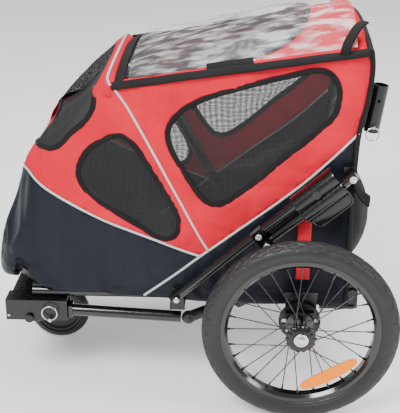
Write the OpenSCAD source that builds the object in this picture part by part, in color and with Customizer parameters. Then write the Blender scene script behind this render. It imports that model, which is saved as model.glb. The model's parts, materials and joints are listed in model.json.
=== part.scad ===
// Two-wheeled bicycle trailer with a folding fabric cabin, a tow bar and a front caster.
// X runs from the nose (-) to the rear (+), Y across (the left side is -Y), Z is up, the ground is Z = 0.

/* [Wheels] */
// X of the main axle
axle_x = 212; // [200:1:220]
// Half the distance between the two wheels' centre planes
half_track = 300; // [296:1:304]
// Outer radius of the tyre
tyre_r = 200; // [198:1:202]
// Radius of the tyre's round section
tyre_section_r = 22; // [20:0.5:23]
// Spokes in each wheel
spoke_count = 28; // [20:4:32]
// Radius of the wheel axle pin
axle_r = 6; // [5:0.5:7]

/* [Caster] */
// X of the caster's swivel stem
stem_x = -383; // [-386:1:-380]
// How far the caster wheel trails behind its stem
caster_trail = 47; // [44:1:50]
// Radius of the caster wheel
caster_r = 70; // [70:1:70]

/* [Frame] */
// Height of the floor tubes' centre line
rail_z = 222; // [221:0.5:223]
// Radius of the floor and hoop tubes
tube_r = 11; // [10:0.5:11]
// Sideways place of the two long floor tubes
rail_y = 190; // [188:1:191]
// Front and rear ends of the floor
floor_front_x = -352; // [-354:1:-350]
floor_rear_x = 296; // [294:1:298]

/* [Cabin] */
// Half width of the cabin at its floor
cabin_half_w = 215; // [214:1:216]
// Lean of the side panels towards the middle, in degrees
side_lean = 2.5; // [2.4:0.05:2.6]
// Thickness of the padded fabric panels
cloth_t = 5; // [4:0.5:5]

/* [Side brace] */
// Length of each brace link between its pivots
link_len = 218; // [217:0.5:219]
// Angle of the locked brace above the horizontal
brace_angle = 41.5; // [41.4:0.1:41.6]
// Gap between the two parallel brace tubes' centre lines
brace_offset = 26; // [25.5:0.25:26.5]
// Radius of the brace tubes
brace_r = 9.5; // [9:0.25:9.5]
// Sideways place of the brace
brace_y = -240; // [-241:0.5:-239]

/* [Tow bar] */
// Radius of the tow bar tube
tow_r = 12.5; // [12:0.5:12.5]
// Inner radius of the handlebar sockets
socket_bore_r = 12.7; // [12.5:0.1:12.8]

/* [Hidden] */
$fn = 48;

gap = 0.3;
hub_half = 37;
rim_inner_r = 147;
bead_r = 163.5;
rear_pivot = [222, 256];
front_pivot = [76, 256];
rear_leg_y = 168;
front_leg_y = 145;
brace_foot = [-41, 241];
brace_dir = [cos(brace_angle), sin(brace_angle)];
brace_up = [-sin(brace_angle), cos(brace_angle)];
brace_mid = brace_foot + 220 * brace_dir - brace_offset * brace_up;
brace_top = brace_mid + link_len * brace_dir;
block_s = 365;
tow_pivot = [-358, 169];
tow_pin_x = tow_pivot[0] + 45;
stem_z = 150;
socket_angle = 8;
socket_foot = [343, 583];
socket_len = 96;
socket_y = 168;

// The cabin's outline seen from the left: floor, rear edge, roof edge and nose.
roof_front = [-168, 674];
roof_rear = [330, 748];
cabin_outline = [[-372, 246], [-284, 234], [-204, 229], [-114, 226], [6, 218], [89, 215], [310, 215],
    [309, 425], [313, 563], [318, 604], [329, 654], [334, 713], roof_rear, roof_front,
    [-205, 688], [-287, 603], [-337, 529], [-350, 488], [-369, 422], [-396, 366], [-413, 262]];
rear_window = [[-59, 586], [-41, 621], [-13, 641], [29, 660], [159, 696], [234, 711], [255, 703], [270, 676],
    [269, 630], [251, 605], [165, 533], [72, 451], [42, 439], [22, 443], [-2, 469], [-26, 505], [-49, 547]];
front_side_window = [[-162, 578], [-147, 574], [-116, 543], [-95, 512], [-54, 442], [-35, 398], [-39, 380],
    [-49, 367], [-68, 362], [-90, 370], [-172, 422], [-225, 467], [-239, 507], [-230, 531], [-190, 567]];

module left_or_right(right) {
    if (right) mirror([0, 1, 0]) children();
    else children();
}

// A flat outline drawn in X and Z, from y0 to y1.
module slab(points, y0, y1) {
    translate([0, y1, 0]) rotate([90, 0, 0]) linear_extrude(y1 - y0) polygon(points);
}

module pin_y(at, y0, y1, r) {
    translate([at[0], y0, at[1]]) rotate([-90, 0, 0]) cylinder(h = y1 - y0, r = r);
}

// A straight tube or rod between two points.
module rod(a, b, r, bore = 0) {
    v = b - a;
    translate(a) rotate([0, acos(v[2] / norm(v)), atan2(v[1], v[0])]) difference() {
        cylinder(h = norm(v), r = r);
        if (bore > 0) translate([0, 0, -1]) cylinder(h = norm(v) + 2, r = bore);
    }
}

// Straight tubes joined by ball corners.
module tube_path(points, r) {
    for (i = [0 : len(points) - 2]) rod(points[i], points[i + 1], r);
    for (i = [1 : len(points) - 2]) translate(points[i]) sphere(r + 0.3);
}

// A turned part whose profile runs outward in X and along the axle in Y, set on the left wheel's centre.
module turned_on_axle(points) {
    translate([axle_x, -half_track, tyre_r]) rotate([90, 0, 0]) rotate_extrude($fn = 96) polygon(points);
}

// The brace's own frame: X along the tubes from the foot pivot, Y square to them, Z across the trailer.
module brace_frame() {
    translate([brace_foot[0], brace_y, brace_foot[1]]) rotate([0, -brace_angle, 0]) rotate([90, 0, 0]) children();
}

module outline_band(points, from, to, thick) {
    inner = [for (p = points) p + thick * [1, -0.25]];
    slab(concat(points, [for (i = [len(inner) - 1 : -1 : 0]) inner[i]]), from, to);
}

// The space between the leaning side panels, which every cross panel is cut to.
module between_sides() {
    lean = tan(side_lean);
    low = cabin_half_w - cloth_t - 1.5;
    rotate([90, 0, 90]) linear_extrude(1000, center = true) polygon([[-low + 10 * lean, 200], [low - 10 * lean, 200],
        [low - 560 * lean, 780], [-low + 560 * lean, 780]]);
}

module lean_left() {
    translate([0, -cabin_half_w, rail_z]) rotate([-side_lean, 0, 0]) translate([0, 0, -rail_z]) children();
}

// Two long floor tubes and three crossbars between them.
module floor_tubes() color("black") {
    for (y = [-rail_y, rail_y]) rod([floor_front_x, y, rail_z], [floor_rear_x, y, rail_z], tube_r);
    for (x = [floor_front_x + 14, -30, floor_rear_x - 14])
        rod([x, -rail_y + tube_r + gap, rail_z], [x, rail_y - tube_r - gap, rail_z], tube_r);
}

module axle_beam() color("black") {
    rod([axle_x, -247, tyre_r], [axle_x, 247, tyre_r], tube_r - 0.5, 6.05);
}

// The disc that the hub plugs into, with its stiffening plate under the floor tube.
module wheel_receiver(right) color("black") left_or_right(right) difference() {
    union() {
        pin_y([axle_x, tyre_r], -half_track + hub_half + 0.7, -half_track + hub_half + 6.7, 43);
        slab([[axle_x - 32, 262], [axle_x + 36, 262], [axle_x + 30, 176], [axle_x - 26, 176]], -252, -248);
        pin_y([axle_x, tyre_r], -257, -247, 18);
    }
    pin_y([axle_x, tyre_r], -half_track, -200, axle_r + 0.05);
    for (turn = [0 : 45 : 315]) translate([axle_x, 0, tyre_r]) rotate([0, turn, 0]) pin_y([32, 0], -270, -253, 6);
}

module wheel_receiver_left() wheel_receiver(false);
module wheel_receiver_right() wheel_receiver(true);

// Clevis plates that the two hoops fold on, standing on the floor panel over the long tubes.
module hoop_lugs() color("dimgray") for (right = [false, true]) left_or_right(right)
    for (lug = [[rear_pivot, rear_leg_y], [front_pivot, front_leg_y]]) {
        for (side = [-1, 1]) {
            y = -lug[1] + side * 14;
            slab([[lug[0][0] - 16, 239], [lug[0][0] + 16, 239], [lug[0][0] + 9, 268], [lug[0][0] - 9, 268]],
                y - 1.5, y + 1.5);
        }
        translate([lug[0][0] - 16, -lug[1] - 15.5, 238.5]) cube([32, 31, 3]);
        pin_y(lug[0], -lug[1] - 18, -lug[1] + 18, 4);
    }

module brace_feet() color("dimgray") for (right = [false, true]) left_or_right(right) {
    difference() {
        union() {
            slab([[-58, 203], [-26, 203], [-31, 254], [-51, 254]], -229, -225);
            translate([-58, -225.5, 203]) cube([32, 40, 7.8]);
        }
        pin_y(brace_foot, -240, -200, 4.05);
    }
    pin_y(brace_foot, -252, -222, 4);
    pin_y(brace_foot, -255, -250, 7);
}

// Box section that carries the tow bar's hinge.
module drawbar_bracket() color("black") difference() {
    union() {
        difference() {
            translate([-408, -216, 163]) cube([131, 44, 47]);
            translate([-412, -213, 160]) cube([140, 38, 47]);
        }
        pin_y(tow_pivot, -222, -166, 5);
        pin_y(tow_pivot, -223, -217, 9);
    }
    pin_y([-403, 172], -230, -160, 3);
    pin_y([tow_pin_x, tow_pivot[1]], -230, -160, 4.05);
}

module caster_bracket() color("black") difference() {
    union() {
        translate([stem_x - 22, -170, 198]) cube([44, 340, 4]);
        translate([stem_x, 0, stem_z + 18]) cylinder(h = 34, r = 18);
        for (y = [-168, 140]) translate([floor_front_x - 12, y, 201.5]) cube([30, 28, 9.3]);
    }
    translate([stem_x, 0, stem_z]) cylinder(h = 70, r = 8.05);
}

module rear_brackets() color("black") for (right = [false, true]) left_or_right(right) {
    translate([255, -212, 204]) cube([72, 40, 6.5]);
    translate([310.5, -208, 204]) cube([23.5, 36, 56]);
    pin_y([322, 240], -214, -207.5, 10);
}

module floor_panel() color("dimgray") translate([floor_front_x, -rail_y - 4, rail_z + tube_r + gap])
    cube([floor_rear_x - floor_front_x, 2 * rail_y + 8, 5]);

// A side panel leans inward; its two windows are separate mesh panes in real openings.
module cabin_side(right) color("crimson") left_or_right(right) difference() {
    lean_left() slab(cabin_outline, 0, cloth_t);
    lean_left() slab(rear_window, -10, 20);
    lean_left() slab(front_side_window, -10, 20);
    slab([[268, 488], [330, 488], [330, 534], [268, 534]], -240, -150);
}

module cabin_side_left() cabin_side(false);
module cabin_side_right() cabin_side(true);

module side_windows(right) color("gray") left_or_right(right) lean_left() {
    for (pane = [rear_window, front_side_window]) {
        middle = [for (i = [0, 1]) (max([for (p = pane) p[i]]) + min([for (p = pane) p[i]])) / 2];
        translate([middle[0], 0, middle[1]]) scale(0.99) translate([-middle[0], 0, -middle[1]]) slab(pane, 1, 4);
    }
}

module side_windows_left() side_windows(false);
module side_windows_right() side_windows(true);

module cabin_front_lower() color("darkslateblue") intersection() {
    outline_band([[-372, 247], [-413, 262], [-396, 366], [-371, 430]], -230, 230, cloth_t);
    between_sides();
}

module cabin_front_upper() color("crimson") difference() {
    intersection() {
        outline_band([[-370.5, 432], [-350, 488], [-337, 529], [-287, 603], [-205, 688]], -230, 230, cloth_t);
        between_sides();
    }
    slab([[-360, 512], [-320, 500], [-205, 640], [-230, 700]], -122, 122);
}

module front_window() color("gray")
    outline_band([[-341, 515], [-336, 530.5], [-286, 604.5], [-232, 659]], -121.5, 121.5, 3);

// The rear panel has two slots that the handlebar brackets come through.
module cabin_rear() color("darkslateblue") difference() {
    intersection() {
        slab([[304, 218], [309.5, 218], [308.5, 425], [312.5, 563], [317.5, 604], [328.5, 654], [333.5, 713],
            [329.5, 744], [324, 744], [328, 713], [323, 654], [312, 604], [307, 563], [303, 425]], -230, 230);
        between_sides();
    }
    for (y = [-1, 1]) translate([290, y * socket_y - 10, 586]) cube([50, 20, 82]);
    for (y = [-1, 1]) translate([290, y * 200 - 30, 488]) cube([50, 60, 46]);
}

// Roof heights: straight edges along the sides and a crown that grows towards the rear.
roof_half_w = 194;
roof_steps_x = 16;
roof_steps_y = 12;
roof_len = roof_rear[0] - roof_front[0];
function roof_edge(u) = roof_front[1] + 1 + (roof_rear[1] - roof_front[1]) * u;
function roof_crown(u) = u < 0.92 ? 26 + 42 * u : (26 + 42 * 0.92) * (1 - pow((u - 0.92) / 0.08, 2) * 0.8);
function roof_point(u, v, lift) = [roof_front[0] + roof_len * u, roof_half_w * v,
    roof_edge(u) + roof_crown(u) * (1 - pow(abs(v), 2.4)) + lift];

// A curved sheet on a grid: the upper skin's points, then the lower skin's, closed round the rim.
module roof_sheet(first, last, low, high) {
    nx = last - first;
    ny = roof_steps_y;
    points = [for (lift = [high, low]) for (i = [first : last]) for (j = [0 : ny])
        roof_point(i / roof_steps_x, 2 * j / ny - 1, lift)];
    row = ny + 1;
    under = (nx + 1) * row;
    quads = concat(
        [for (i = [0 : nx - 1]) for (j = [0 : ny - 1]) let (a = i * row + j) [a, a + 1, a + row + 1, a + row]],
        [for (i = [0 : nx - 1]) for (j = [0 : ny - 1]) let (a = under + i * row + j)
            [a, a + row, a + row + 1, a + 1]],
        [for (i = [0 : nx - 1]) for (j = [0, ny]) let (a = i * row + j, b = a + under)
            j == 0 ? [a, a + row, b + row, b] : [a, b, b + row, a + row]],
        [for (j = [0 : ny - 1]) for (i = [0, nx]) let (a = i * row + j, b = a + under)
            i == 0 ? [a, b, b + 1, a + 1] : [a, a + 1, b + 1, b]]);
    polyhedron(points, quads);
}

module cabin_roof() color("crimson") roof_sheet(0, roof_steps_x, 0, 4);
module rain_cover() color("lightcyan", 0.4) roof_sheet(1, roof_steps_x - 1, 5, 7);

module side_straps() color("red") for (y = [-1, 1])
    translate([203, y * 222 - 1, 277]) cube([28, 2, 135]);

module wheel_axle(right) color("silver") left_or_right(right) difference() {
    union() {
        pin_y([axle_x, tyre_r], -half_track - hub_half - 3, -226, axle_r);
        pin_y([axle_x, tyre_r], -half_track - hub_half - 3, -half_track - hub_half - 0.5, 10);
    }
    pin_y([axle_x, tyre_r], -half_track - hub_half - 4, -half_track - hub_half + 8, 4.05);
}

module wheel_axle_left() wheel_axle(false);
module wheel_axle_right() wheel_axle(true);

module release_button(right) color("silver") left_or_right(right)
    pin_y([axle_x, tyre_r], -half_track - hub_half - 6, -half_track - hub_half + 4, 4);
module release_button_left() release_button(false);
module release_button_right() release_button(true);

module tyre(right) color("dimgray") left_or_right(right)
    translate([axle_x, -half_track, tyre_r]) rotate([90, 0, 0]) rotate_extrude($fn = 96) intersection() {
        translate([tyre_r - tyre_section_r, 0]) circle(tyre_section_r);
        translate([bead_r + gap, -30]) square([60, 60]);
    }
module tyre_left() tyre(false);
module tyre_right() tyre(true);

module rim(right) color("black") left_or_right(right) turned_on_axle([[rim_inner_r, -8], [rim_inner_r, 8],
    [153, 14], [bead_r, 14], [bead_r, 11], [157, 8], [157, -8], [bead_r, -11], [bead_r, -14], [153, -14]]);
module rim_left() rim(false);
module rim_right() rim(true);

// Straight spokes laced outward in two rows, leaning forward and back in turn.
module spokes(right) color("dimgray") left_or_right(right) translate([axle_x, -half_track, tyre_r])
    for (i = [0 : spoke_count - 1]) {
        row = i % 2 == 0 ? 1 : -1;
        lean = i % 4 < 2 ? 32 : -32;
        flange_y = lean > 0 ? 25 : 29;
        at = i * 360 / spoke_count;
        rod([25 * cos(at - lean), row * flange_y, 25 * sin(at - lean)],
            [(rim_inner_r - gap) * cos(at), row * 2.5, (rim_inner_r - gap) * sin(at)], 1.1);
    }
module spokes_left() spokes(false);
module spokes_right() spokes(true);

module hub(right) color("black") left_or_right(right) turned_on_axle([[axle_r + 0.05, -hub_half], [13, -hub_half],
    [15, -31], [28, -29.5], [28, -24.5], [14, -20], [14, 20], [28, 24.5], [28, 29.5], [15, 31], [13, hub_half],
    [axle_r + 0.05, hub_half]]);
module hub_left() hub(false);
module hub_right() hub(true);

// Curved amber reflector clipped between the spokes.
module reflector(right) color("orange") left_or_right(right)
    translate([axle_x, -half_track - 11.5, tyre_r]) rotate([90, 0, 0]) rotate([0, 0, -88])
        rotate_extrude(angle = 56, $fn = 96) translate([112, 0]) square([22, 6]);
module reflector_left() reflector(false);
module reflector_right() reflector(true);

hoop_path = [[rear_pivot[0], -rear_leg_y, rear_pivot[1]], [286, -rear_leg_y, 512], [308, -rear_leg_y, 670],
    [311, -rear_leg_y + 6, 722], [307, -110, 758]];

module rear_hoop() color("black") difference() {
    union() {
        for (y = [false, true]) left_or_right(y) {
            tube_path(hoop_path, tube_r);
            translate(hoop_path[0]) sphere(tube_r + 0.3);
        }
        rod([307, -110, 758], [307, 110, 758], tube_r);
        for (y = [-110, 110]) translate([307, y, 758]) sphere(tube_r + 0.3);
    }
    for (y = [false, true]) left_or_right(y) pin_y(rear_pivot, -rear_leg_y - 20, -rear_leg_y + 20, 4.05);
}

// Plates that carry the handlebar sockets and the braces' top bolts.
module hoop_brackets() color("black") for (right = [false, true]) left_or_right(right) {
    difference() {
        slab([[310, 592], [330, 590], [345, 600], [346, 640], [330, 656], [320, 654]], -socket_y - 4, -socket_y + 4);
        rod([308, -socket_y, 670] - 2 * [22, 0, 158], [308, -socket_y, 670], tube_r + gap);
        rod([socket_foot[0], -socket_y, socket_foot[1]] - 5 * [sin(socket_angle), 0, cos(socket_angle)],
            [socket_foot[0], -socket_y, socket_foot[1]] + 150 * [sin(socket_angle), 0, cos(socket_angle)], 15 + gap);
    }
    difference() {
        union() {
            slab([[brace_top[0] - 16, 497], [brace_top[0] + 8, 497], [brace_top[0] + 12, 512],
                [brace_top[0] + 8, 527], [brace_top[0] - 16, 527]], -224.5, -221);
            translate([brace_top[0] - 16, -222, 497]) cube([20, 43, 30]);
        }
        rod([286, -rear_leg_y, 512] - 2 * [64, 0, 256], [286, -rear_leg_y, 512], tube_r + gap);
        rod([286, -rear_leg_y, 512], [308, -rear_leg_y, 670], tube_r + gap);
        pin_y(brace_top, -240, -200, 4.05);
    }
}

module handlebar_socket(right) color("black") left_or_right(right)
    translate([socket_foot[0], -socket_y, socket_foot[1]]) rotate([0, socket_angle, 0]) difference() {
        cylinder(h = socket_len, r = 15);
        translate([0, 0, 4]) cylinder(h = socket_len, r = 11);
        translate([0, 0, 19.5]) cylinder(h = socket_len, r = socket_bore_r);
        for (z = [14, 66]) translate([0, -20, z]) rotate([-90, 0, 0]) cylinder(h = 40, r = 3.05);
    }
module handlebar_socket_left() handlebar_socket(false);
module handlebar_socket_right() handlebar_socket(true);

// Lock pin with a wire ring, pushed through the socket's lower cross hole.
module socket_pin(right) color("silver") left_or_right(right)
    translate([socket_foot[0], -socket_y, socket_foot[1]]) rotate([0, socket_angle, 0]) translate([0, 0, 14]) {
        translate([0, -24, 0]) rotate([-90, 0, 0]) cylinder(h = 44, r = 3);
        translate([0, -24, -13]) rotate([90, 0, 0]) rotate_extrude() translate([13, 0]) circle(1.4);
    }
module socket_pin_left() socket_pin(false);
module socket_pin_right() socket_pin(true);

module front_hoop() color("black") difference() {
    union() {
        for (y = [false, true]) left_or_right(y) {
            tube_path([[front_pivot[0], -front_leg_y, front_pivot[1]], [-141, -front_leg_y, 652], [-146, -85, 682]],
                tube_r);
            translate([front_pivot[0], -front_leg_y, front_pivot[1]]) sphere(tube_r + 0.3);
            translate([-146, -85, 682]) sphere(tube_r + 0.3);
        }
        rod([-146, -85, 682], [-146, 85, 682], tube_r);
    }
    for (y = [false, true]) left_or_right(y) pin_y(front_pivot, -front_leg_y - 20, -front_leg_y + 20, 4.05);
}

// Lower brace tube: from the foot pivot, past the mid hinge, into the lock block.
module brace_lower(right) color("black") left_or_right(right) brace_frame() difference() {
    union() {
        translate([-14, 0, 0]) rotate([0, 90, 0]) cylinder(h = 424, r = brace_r);
        for (z = [-13.5, 10.5]) translate([208, -brace_offset - 9, z]) cube([26, brace_offset + 16, 3]);
        translate([208, 9, -13]) cube([26, 2.5, 26]);
    }
    translate([0, 0, -20]) cylinder(h = 40, r = 4.05);
    translate([220, -brace_offset, -20]) cylinder(h = 40, r = 4.05);
}
module brace_lower_left() brace_lower(false);
module brace_lower_right() brace_lower(true);

module brace_upper(right) color("black") left_or_right(right) brace_frame() difference() {
    translate([214, -brace_offset, 0]) rotate([0, 90, 0]) cylinder(h = link_len + 15, r = brace_r);
    translate([220, -brace_offset, -20]) cylinder(h = 40, r = 4.05);
    translate([220 + link_len, -brace_offset, -20]) cylinder(h = 40, r = 4.05);
}
module brace_upper_left() brace_upper(false);
module brace_upper_right() brace_upper(true);

// Moulded block on the upper tube; its open channel snaps over the lower tube's end.
module lock_block(right) color("black") left_or_right(right) brace_frame() difference() {
    union() {
        translate([block_s - 50, -44, -15]) cube([100, 68, 32]);
        translate([block_s - 6, -58, 6]) cube([50, 20, 9]);
    }
    translate([block_s - 60, -brace_r - 0.5, -brace_r - 0.5]) cube([120, 60, 2 * brace_r + 1]);
    translate([block_s - 60, -brace_offset, 0]) rotate([0, 90, 0]) cylinder(h = 120, r = brace_r + 0.05);
    translate([block_s, -3, 10.6]) cylinder(h = 20, r = 8.55);
}
module lock_block_left() lock_block(false);
module lock_block_right() lock_block(true);

module lock_button(right) color("dimgray") left_or_right(right) brace_frame()
    translate([block_s, -3, 14.5]) cylinder(h = 6, r = 8.5);
module lock_button_left() lock_button(false);
module lock_button_right() lock_button(true);

module hinge_bolt(right) color("silver") left_or_right(right) brace_frame() {
    translate([220, -brace_offset, -18]) cylinder(h = 36, r = 4);
    for (z = [-18, 13.8]) translate([220, -brace_offset, z]) cylinder(h = 4.2, r = 7);
}
module hinge_bolt_left() hinge_bolt(false);
module hinge_bolt_right() hinge_bolt(true);

// The bolt in the upper tube's free end; it stops short of the hoop's plate, so the fold can open there.
module brace_bolt(right) color("silver") left_or_right(right) brace_frame() {
    translate([220 + link_len, -brace_offset, -9.5]) cylinder(h = 25, r = 4);
    translate([220 + link_len, -brace_offset, 11]) cylinder(h = 4.5, r = 7);
}
module brace_bolt_left() brace_bolt(false);
module brace_bolt_right() brace_bolt(true);

caster_x = stem_x + caster_trail;

module caster_fork() color("black") {
    translate([stem_x, 0, stem_z]) cylinder(h = 60, r = 8);
    translate([stem_x, 0, stem_z + 4]) cylinder(h = 13, r = 20);
    translate([stem_x - 20, -26, stem_z]) cube([44, 52, 4]);
    for (y = [-26, 23]) slab([[stem_x - 20, stem_z + 4], [stem_x + 24, stem_z + 4], [caster_x + 14, caster_r + 6],
        [caster_x + 8, caster_r - 12], [caster_x - 10, caster_r - 12]], y, y + 3);
    pin_y([caster_x, caster_r], -31, 31, 4);
    for (y = [-31, 26]) pin_y([caster_x, caster_r], y, y + 5, 7);
}

module caster_wheel() color("dimgray") translate([caster_x, 0, caster_r]) rotate([90, 0, 0])
    rotate_extrude($fn = 96) polygon([[4.05, -20], [12, -20], [12, -8], [44, -8], [46, -14], [52, -14], [52, 14],
        [46, 14], [44, 8], [12, 8], [12, 20], [4.05, 20]]);

module caster_tyre() color("black") translate([caster_x, 0, caster_r]) rotate([90, 0, 0])
    rotate_extrude($fn = 96) intersection() {
        translate([caster_r - 18, 0]) circle(18);
        translate([52 + gap, -20]) square([40, 40]);
    }

// Tow bar folded back under the floor, with its two hinge cheeks round the box section's pivot.
tow_y = -194;
tow_start = [-270, tow_y, 178.5];
tow_bend = [-20, tow_y, 166];
tow_end = [80, -96, 158];
tow_joint = [-36, tow_y, 166.8];

module tow_bar() color("black") difference() {
    union() {
        rod(tow_start, tow_joint, tow_r);
        translate([-300, tow_y - 13.5, 165]) cube([32, 27, 28]);
        for (y = [-14, 11]) slab([[-370, 157], [-345, 154], [-298, 166], [-298, 192], [-345, 184], [-370, 181]],
            tow_y + y, tow_y + y + 3);
    }
    pin_y(tow_pivot, tow_y - 30, tow_y + 30, 5.05);
    pin_y([tow_pin_x, tow_pivot[1]], tow_y - 30, tow_y + 30, 4.05);
}

// The bar's bent end, with a flat tongue and the hole for the bicycle's hitch pin.
module tow_hitch() color("dimgray") {
    rod(tow_bend, tow_end, tow_r);
    translate(tow_bend) sphere(tow_r + 2);
    translate(tow_end) rotate([0, 0, atan2(tow_end[1] - tow_bend[1], tow_end[0] - tow_bend[0])]) difference() {
        translate([-3, -13, -15]) cube([49, 26, 30]);
        translate([28, 0, -40]) cylinder(h = 80, r = 8);
    }
}

// Stub pin with a pull ring; it is drawn, and pushes in through the near cheek to lock the bar.
module tow_lock_pin() color("silver") {
    pin_y([tow_pin_x, tow_pivot[1]], -228, -213.3, 4);
    translate([tow_pin_x, -226, tow_pivot[1] + 16]) rotate([90, 0, 0]) rotate_extrude()
        translate([16, 0]) circle(1.4);
}

floor_tubes();
axle_beam();
wheel_receiver_left();
wheel_receiver_right();
hoop_lugs();
brace_feet();
drawbar_bracket();
caster_bracket();
rear_brackets();
floor_panel();
cabin_side_left();
cabin_side_right();
side_windows_left();
side_windows_right();
cabin_front_lower();
cabin_front_upper();
front_window();
cabin_rear();
cabin_roof();
rain_cover();
side_straps();
wheel_axle_left();
wheel_axle_right();
release_button_left();
release_button_right();
tyre_left();
tyre_right();
rim_left();
rim_right();
spokes_left();
spokes_right();
hub_left();
hub_right();
reflector_left();
reflector_right();
rear_hoop();
hoop_brackets();
handlebar_socket_left();
handlebar_socket_right();
socket_pin_left();
socket_pin_right();
front_hoop();
brace_lower_left();
brace_lower_right();
brace_upper_left();
brace_upper_right();
lock_block_left();
lock_block_right();
lock_button_left();
lock_button_right();
hinge_bolt_left();
hinge_bolt_right();
brace_bolt_left();
brace_bolt_right();
caster_fork();
caster_wheel();
caster_tyre();
tow_bar();
tow_hitch();
tow_lock_pin();
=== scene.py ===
import json
import math
import random

import bmesh
import bpy
from mathutils import Matrix, Vector, bvhtree, geometry, noise


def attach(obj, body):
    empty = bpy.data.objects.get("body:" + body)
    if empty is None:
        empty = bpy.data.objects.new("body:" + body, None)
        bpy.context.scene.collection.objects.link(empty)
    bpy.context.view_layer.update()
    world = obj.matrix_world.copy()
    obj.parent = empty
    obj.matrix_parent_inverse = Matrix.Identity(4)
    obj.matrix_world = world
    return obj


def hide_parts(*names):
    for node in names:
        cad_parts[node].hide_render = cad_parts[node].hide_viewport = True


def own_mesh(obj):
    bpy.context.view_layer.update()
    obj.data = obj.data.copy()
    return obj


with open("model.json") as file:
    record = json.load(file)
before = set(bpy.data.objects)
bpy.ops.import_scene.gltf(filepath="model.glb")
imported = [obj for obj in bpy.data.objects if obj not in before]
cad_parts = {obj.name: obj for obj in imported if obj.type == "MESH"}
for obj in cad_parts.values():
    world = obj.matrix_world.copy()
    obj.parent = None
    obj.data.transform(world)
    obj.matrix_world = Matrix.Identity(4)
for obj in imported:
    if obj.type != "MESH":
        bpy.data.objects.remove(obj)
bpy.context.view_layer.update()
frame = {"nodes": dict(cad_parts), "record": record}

node = frame["nodes"]

# Camera: about chest height of a standing adult, square to the left side and turned very slightly to the nose,
# looking down by 23 degrees. Nothing is in soft focus.
camera_data = bpy.data.cameras.new("camera")
camera_data.lens = 87.2
camera_data.sensor_width = 36.0
camera = bpy.data.objects.new("camera", camera_data)
bpy.context.collection.objects.link(camera)
camera.location = (0.0892, -2.0614, 1.233)
camera.rotation_euler = (math.radians(90 - 23.4), 0, math.radians(2.6))
bpy.context.scene.camera = camera


# Studio: a pale floor with a faint glow of its own, an even white surround and three large soft lamps, one in
# front towards the nose, one over the far side and one beyond the rear end.
def add_mesh(name, points, faces):
    mesh = bpy.data.meshes.new(name)
    mesh.from_pydata([tuple(p) for p in points], [], faces)
    mesh.update()
    piece = bpy.data.objects.new(name, mesh)
    bpy.context.collection.objects.link(piece)
    return piece


def new_material(name, colour, rough=0.5, metal=0.0):
    material = bpy.data.materials.new(name)
    material.use_nodes = True
    shader = material.node_tree.nodes["Principled BSDF"]
    shader.inputs["Base Color"].default_value = (*colour, 1)
    shader.inputs["Roughness"].default_value = rough
    shader.inputs["Metallic"].default_value = metal
    return material, shader, material.node_tree


floor = add_mesh("studio_floor", [(-9, -9, 0), (9, -9, 0), (9, 9, 0), (-9, 9, 0)], [(0, 1, 2, 3)])
floor_white, floor_shader, tree = new_material("studio_floor_white", (0.93, 0.93, 0.93), 0.7)
floor_shader.inputs["Emission Color"].default_value = (1, 1, 1, 1)
floor_shader.inputs["Emission Strength"].default_value = 0.3
floor.data.materials.append(floor_white)

world = bpy.data.worlds.new("studio")
bpy.context.scene.world = world
world.use_nodes = True
world.node_tree.nodes["Background"].inputs["Color"].default_value = (1.0, 1.0, 1.0, 1)
world.node_tree.nodes["Background"].inputs["Strength"].default_value = 0.6

for lamp_name, place, size, watts in (
    ("key_lamp", (-1.1, -2.2, 2.9), 1.3, 140),
    ("top_lamp", (0.5, 0.7, 3.2), 1.6, 80),
    ("rear_lamp", (2.6, -1.3, 1.6), 1.0, 40),
):
    lamp_data = bpy.data.lights.new(lamp_name, "AREA")
    lamp_data.size = size
    lamp_data.energy = watts
    lamp = bpy.data.objects.new(lamp_name, lamp_data)
    bpy.context.collection.objects.link(lamp)
    lamp.location = place
    lamp.rotation_euler = (Vector((0, 0, 0.4)) - Vector(place)).to_track_quat("-Z", "Y").to_euler()


# Woven cloth finishes. The cloth is coated polyester, with a fine plain weave, faint slubs and a soft mottle
# where it has been handled. Patterns follow the UV map, which is in metres on every fabric piece.
def new_group(name, inputs, outputs):
    group = bpy.data.node_groups.new(name, "ShaderNodeTree")
    for label, kind, value in inputs:
        socket = group.interface.new_socket(label, in_out="INPUT", socket_type=kind)
        socket.default_value = value
    for label, kind in outputs:
        group.interface.new_socket(label, in_out="OUTPUT", socket_type=kind)
    return group, group.nodes.new("NodeGroupInput"), group.nodes.new("NodeGroupOutput")


def math_node(tree, operation, first, second=None, clamp=False):
    step = tree.nodes.new("ShaderNodeMath")
    step.operation = operation
    step.use_clamp = clamp
    for socket, value in zip(step.inputs, (first, second)):
        if value is None:
            continue
        if isinstance(value, (int, float)):
            socket.default_value = value
        else:
            tree.links.new(value, socket)
    return step.outputs[0]


def multiplied(tree, first, second):
    return math_node(tree, "MULTIPLY", first, second)


def texture_node(tree, kind, vector, **values):
    texture = tree.nodes.new(kind)
    tree.links.new(vector, texture.inputs["Vector"])
    for label, value in values.items():
        socket = texture.inputs[label.title()]
        if isinstance(value, (int, float)):
            socket.default_value = value
        else:
            tree.links.new(value, socket)
    return texture


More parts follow.
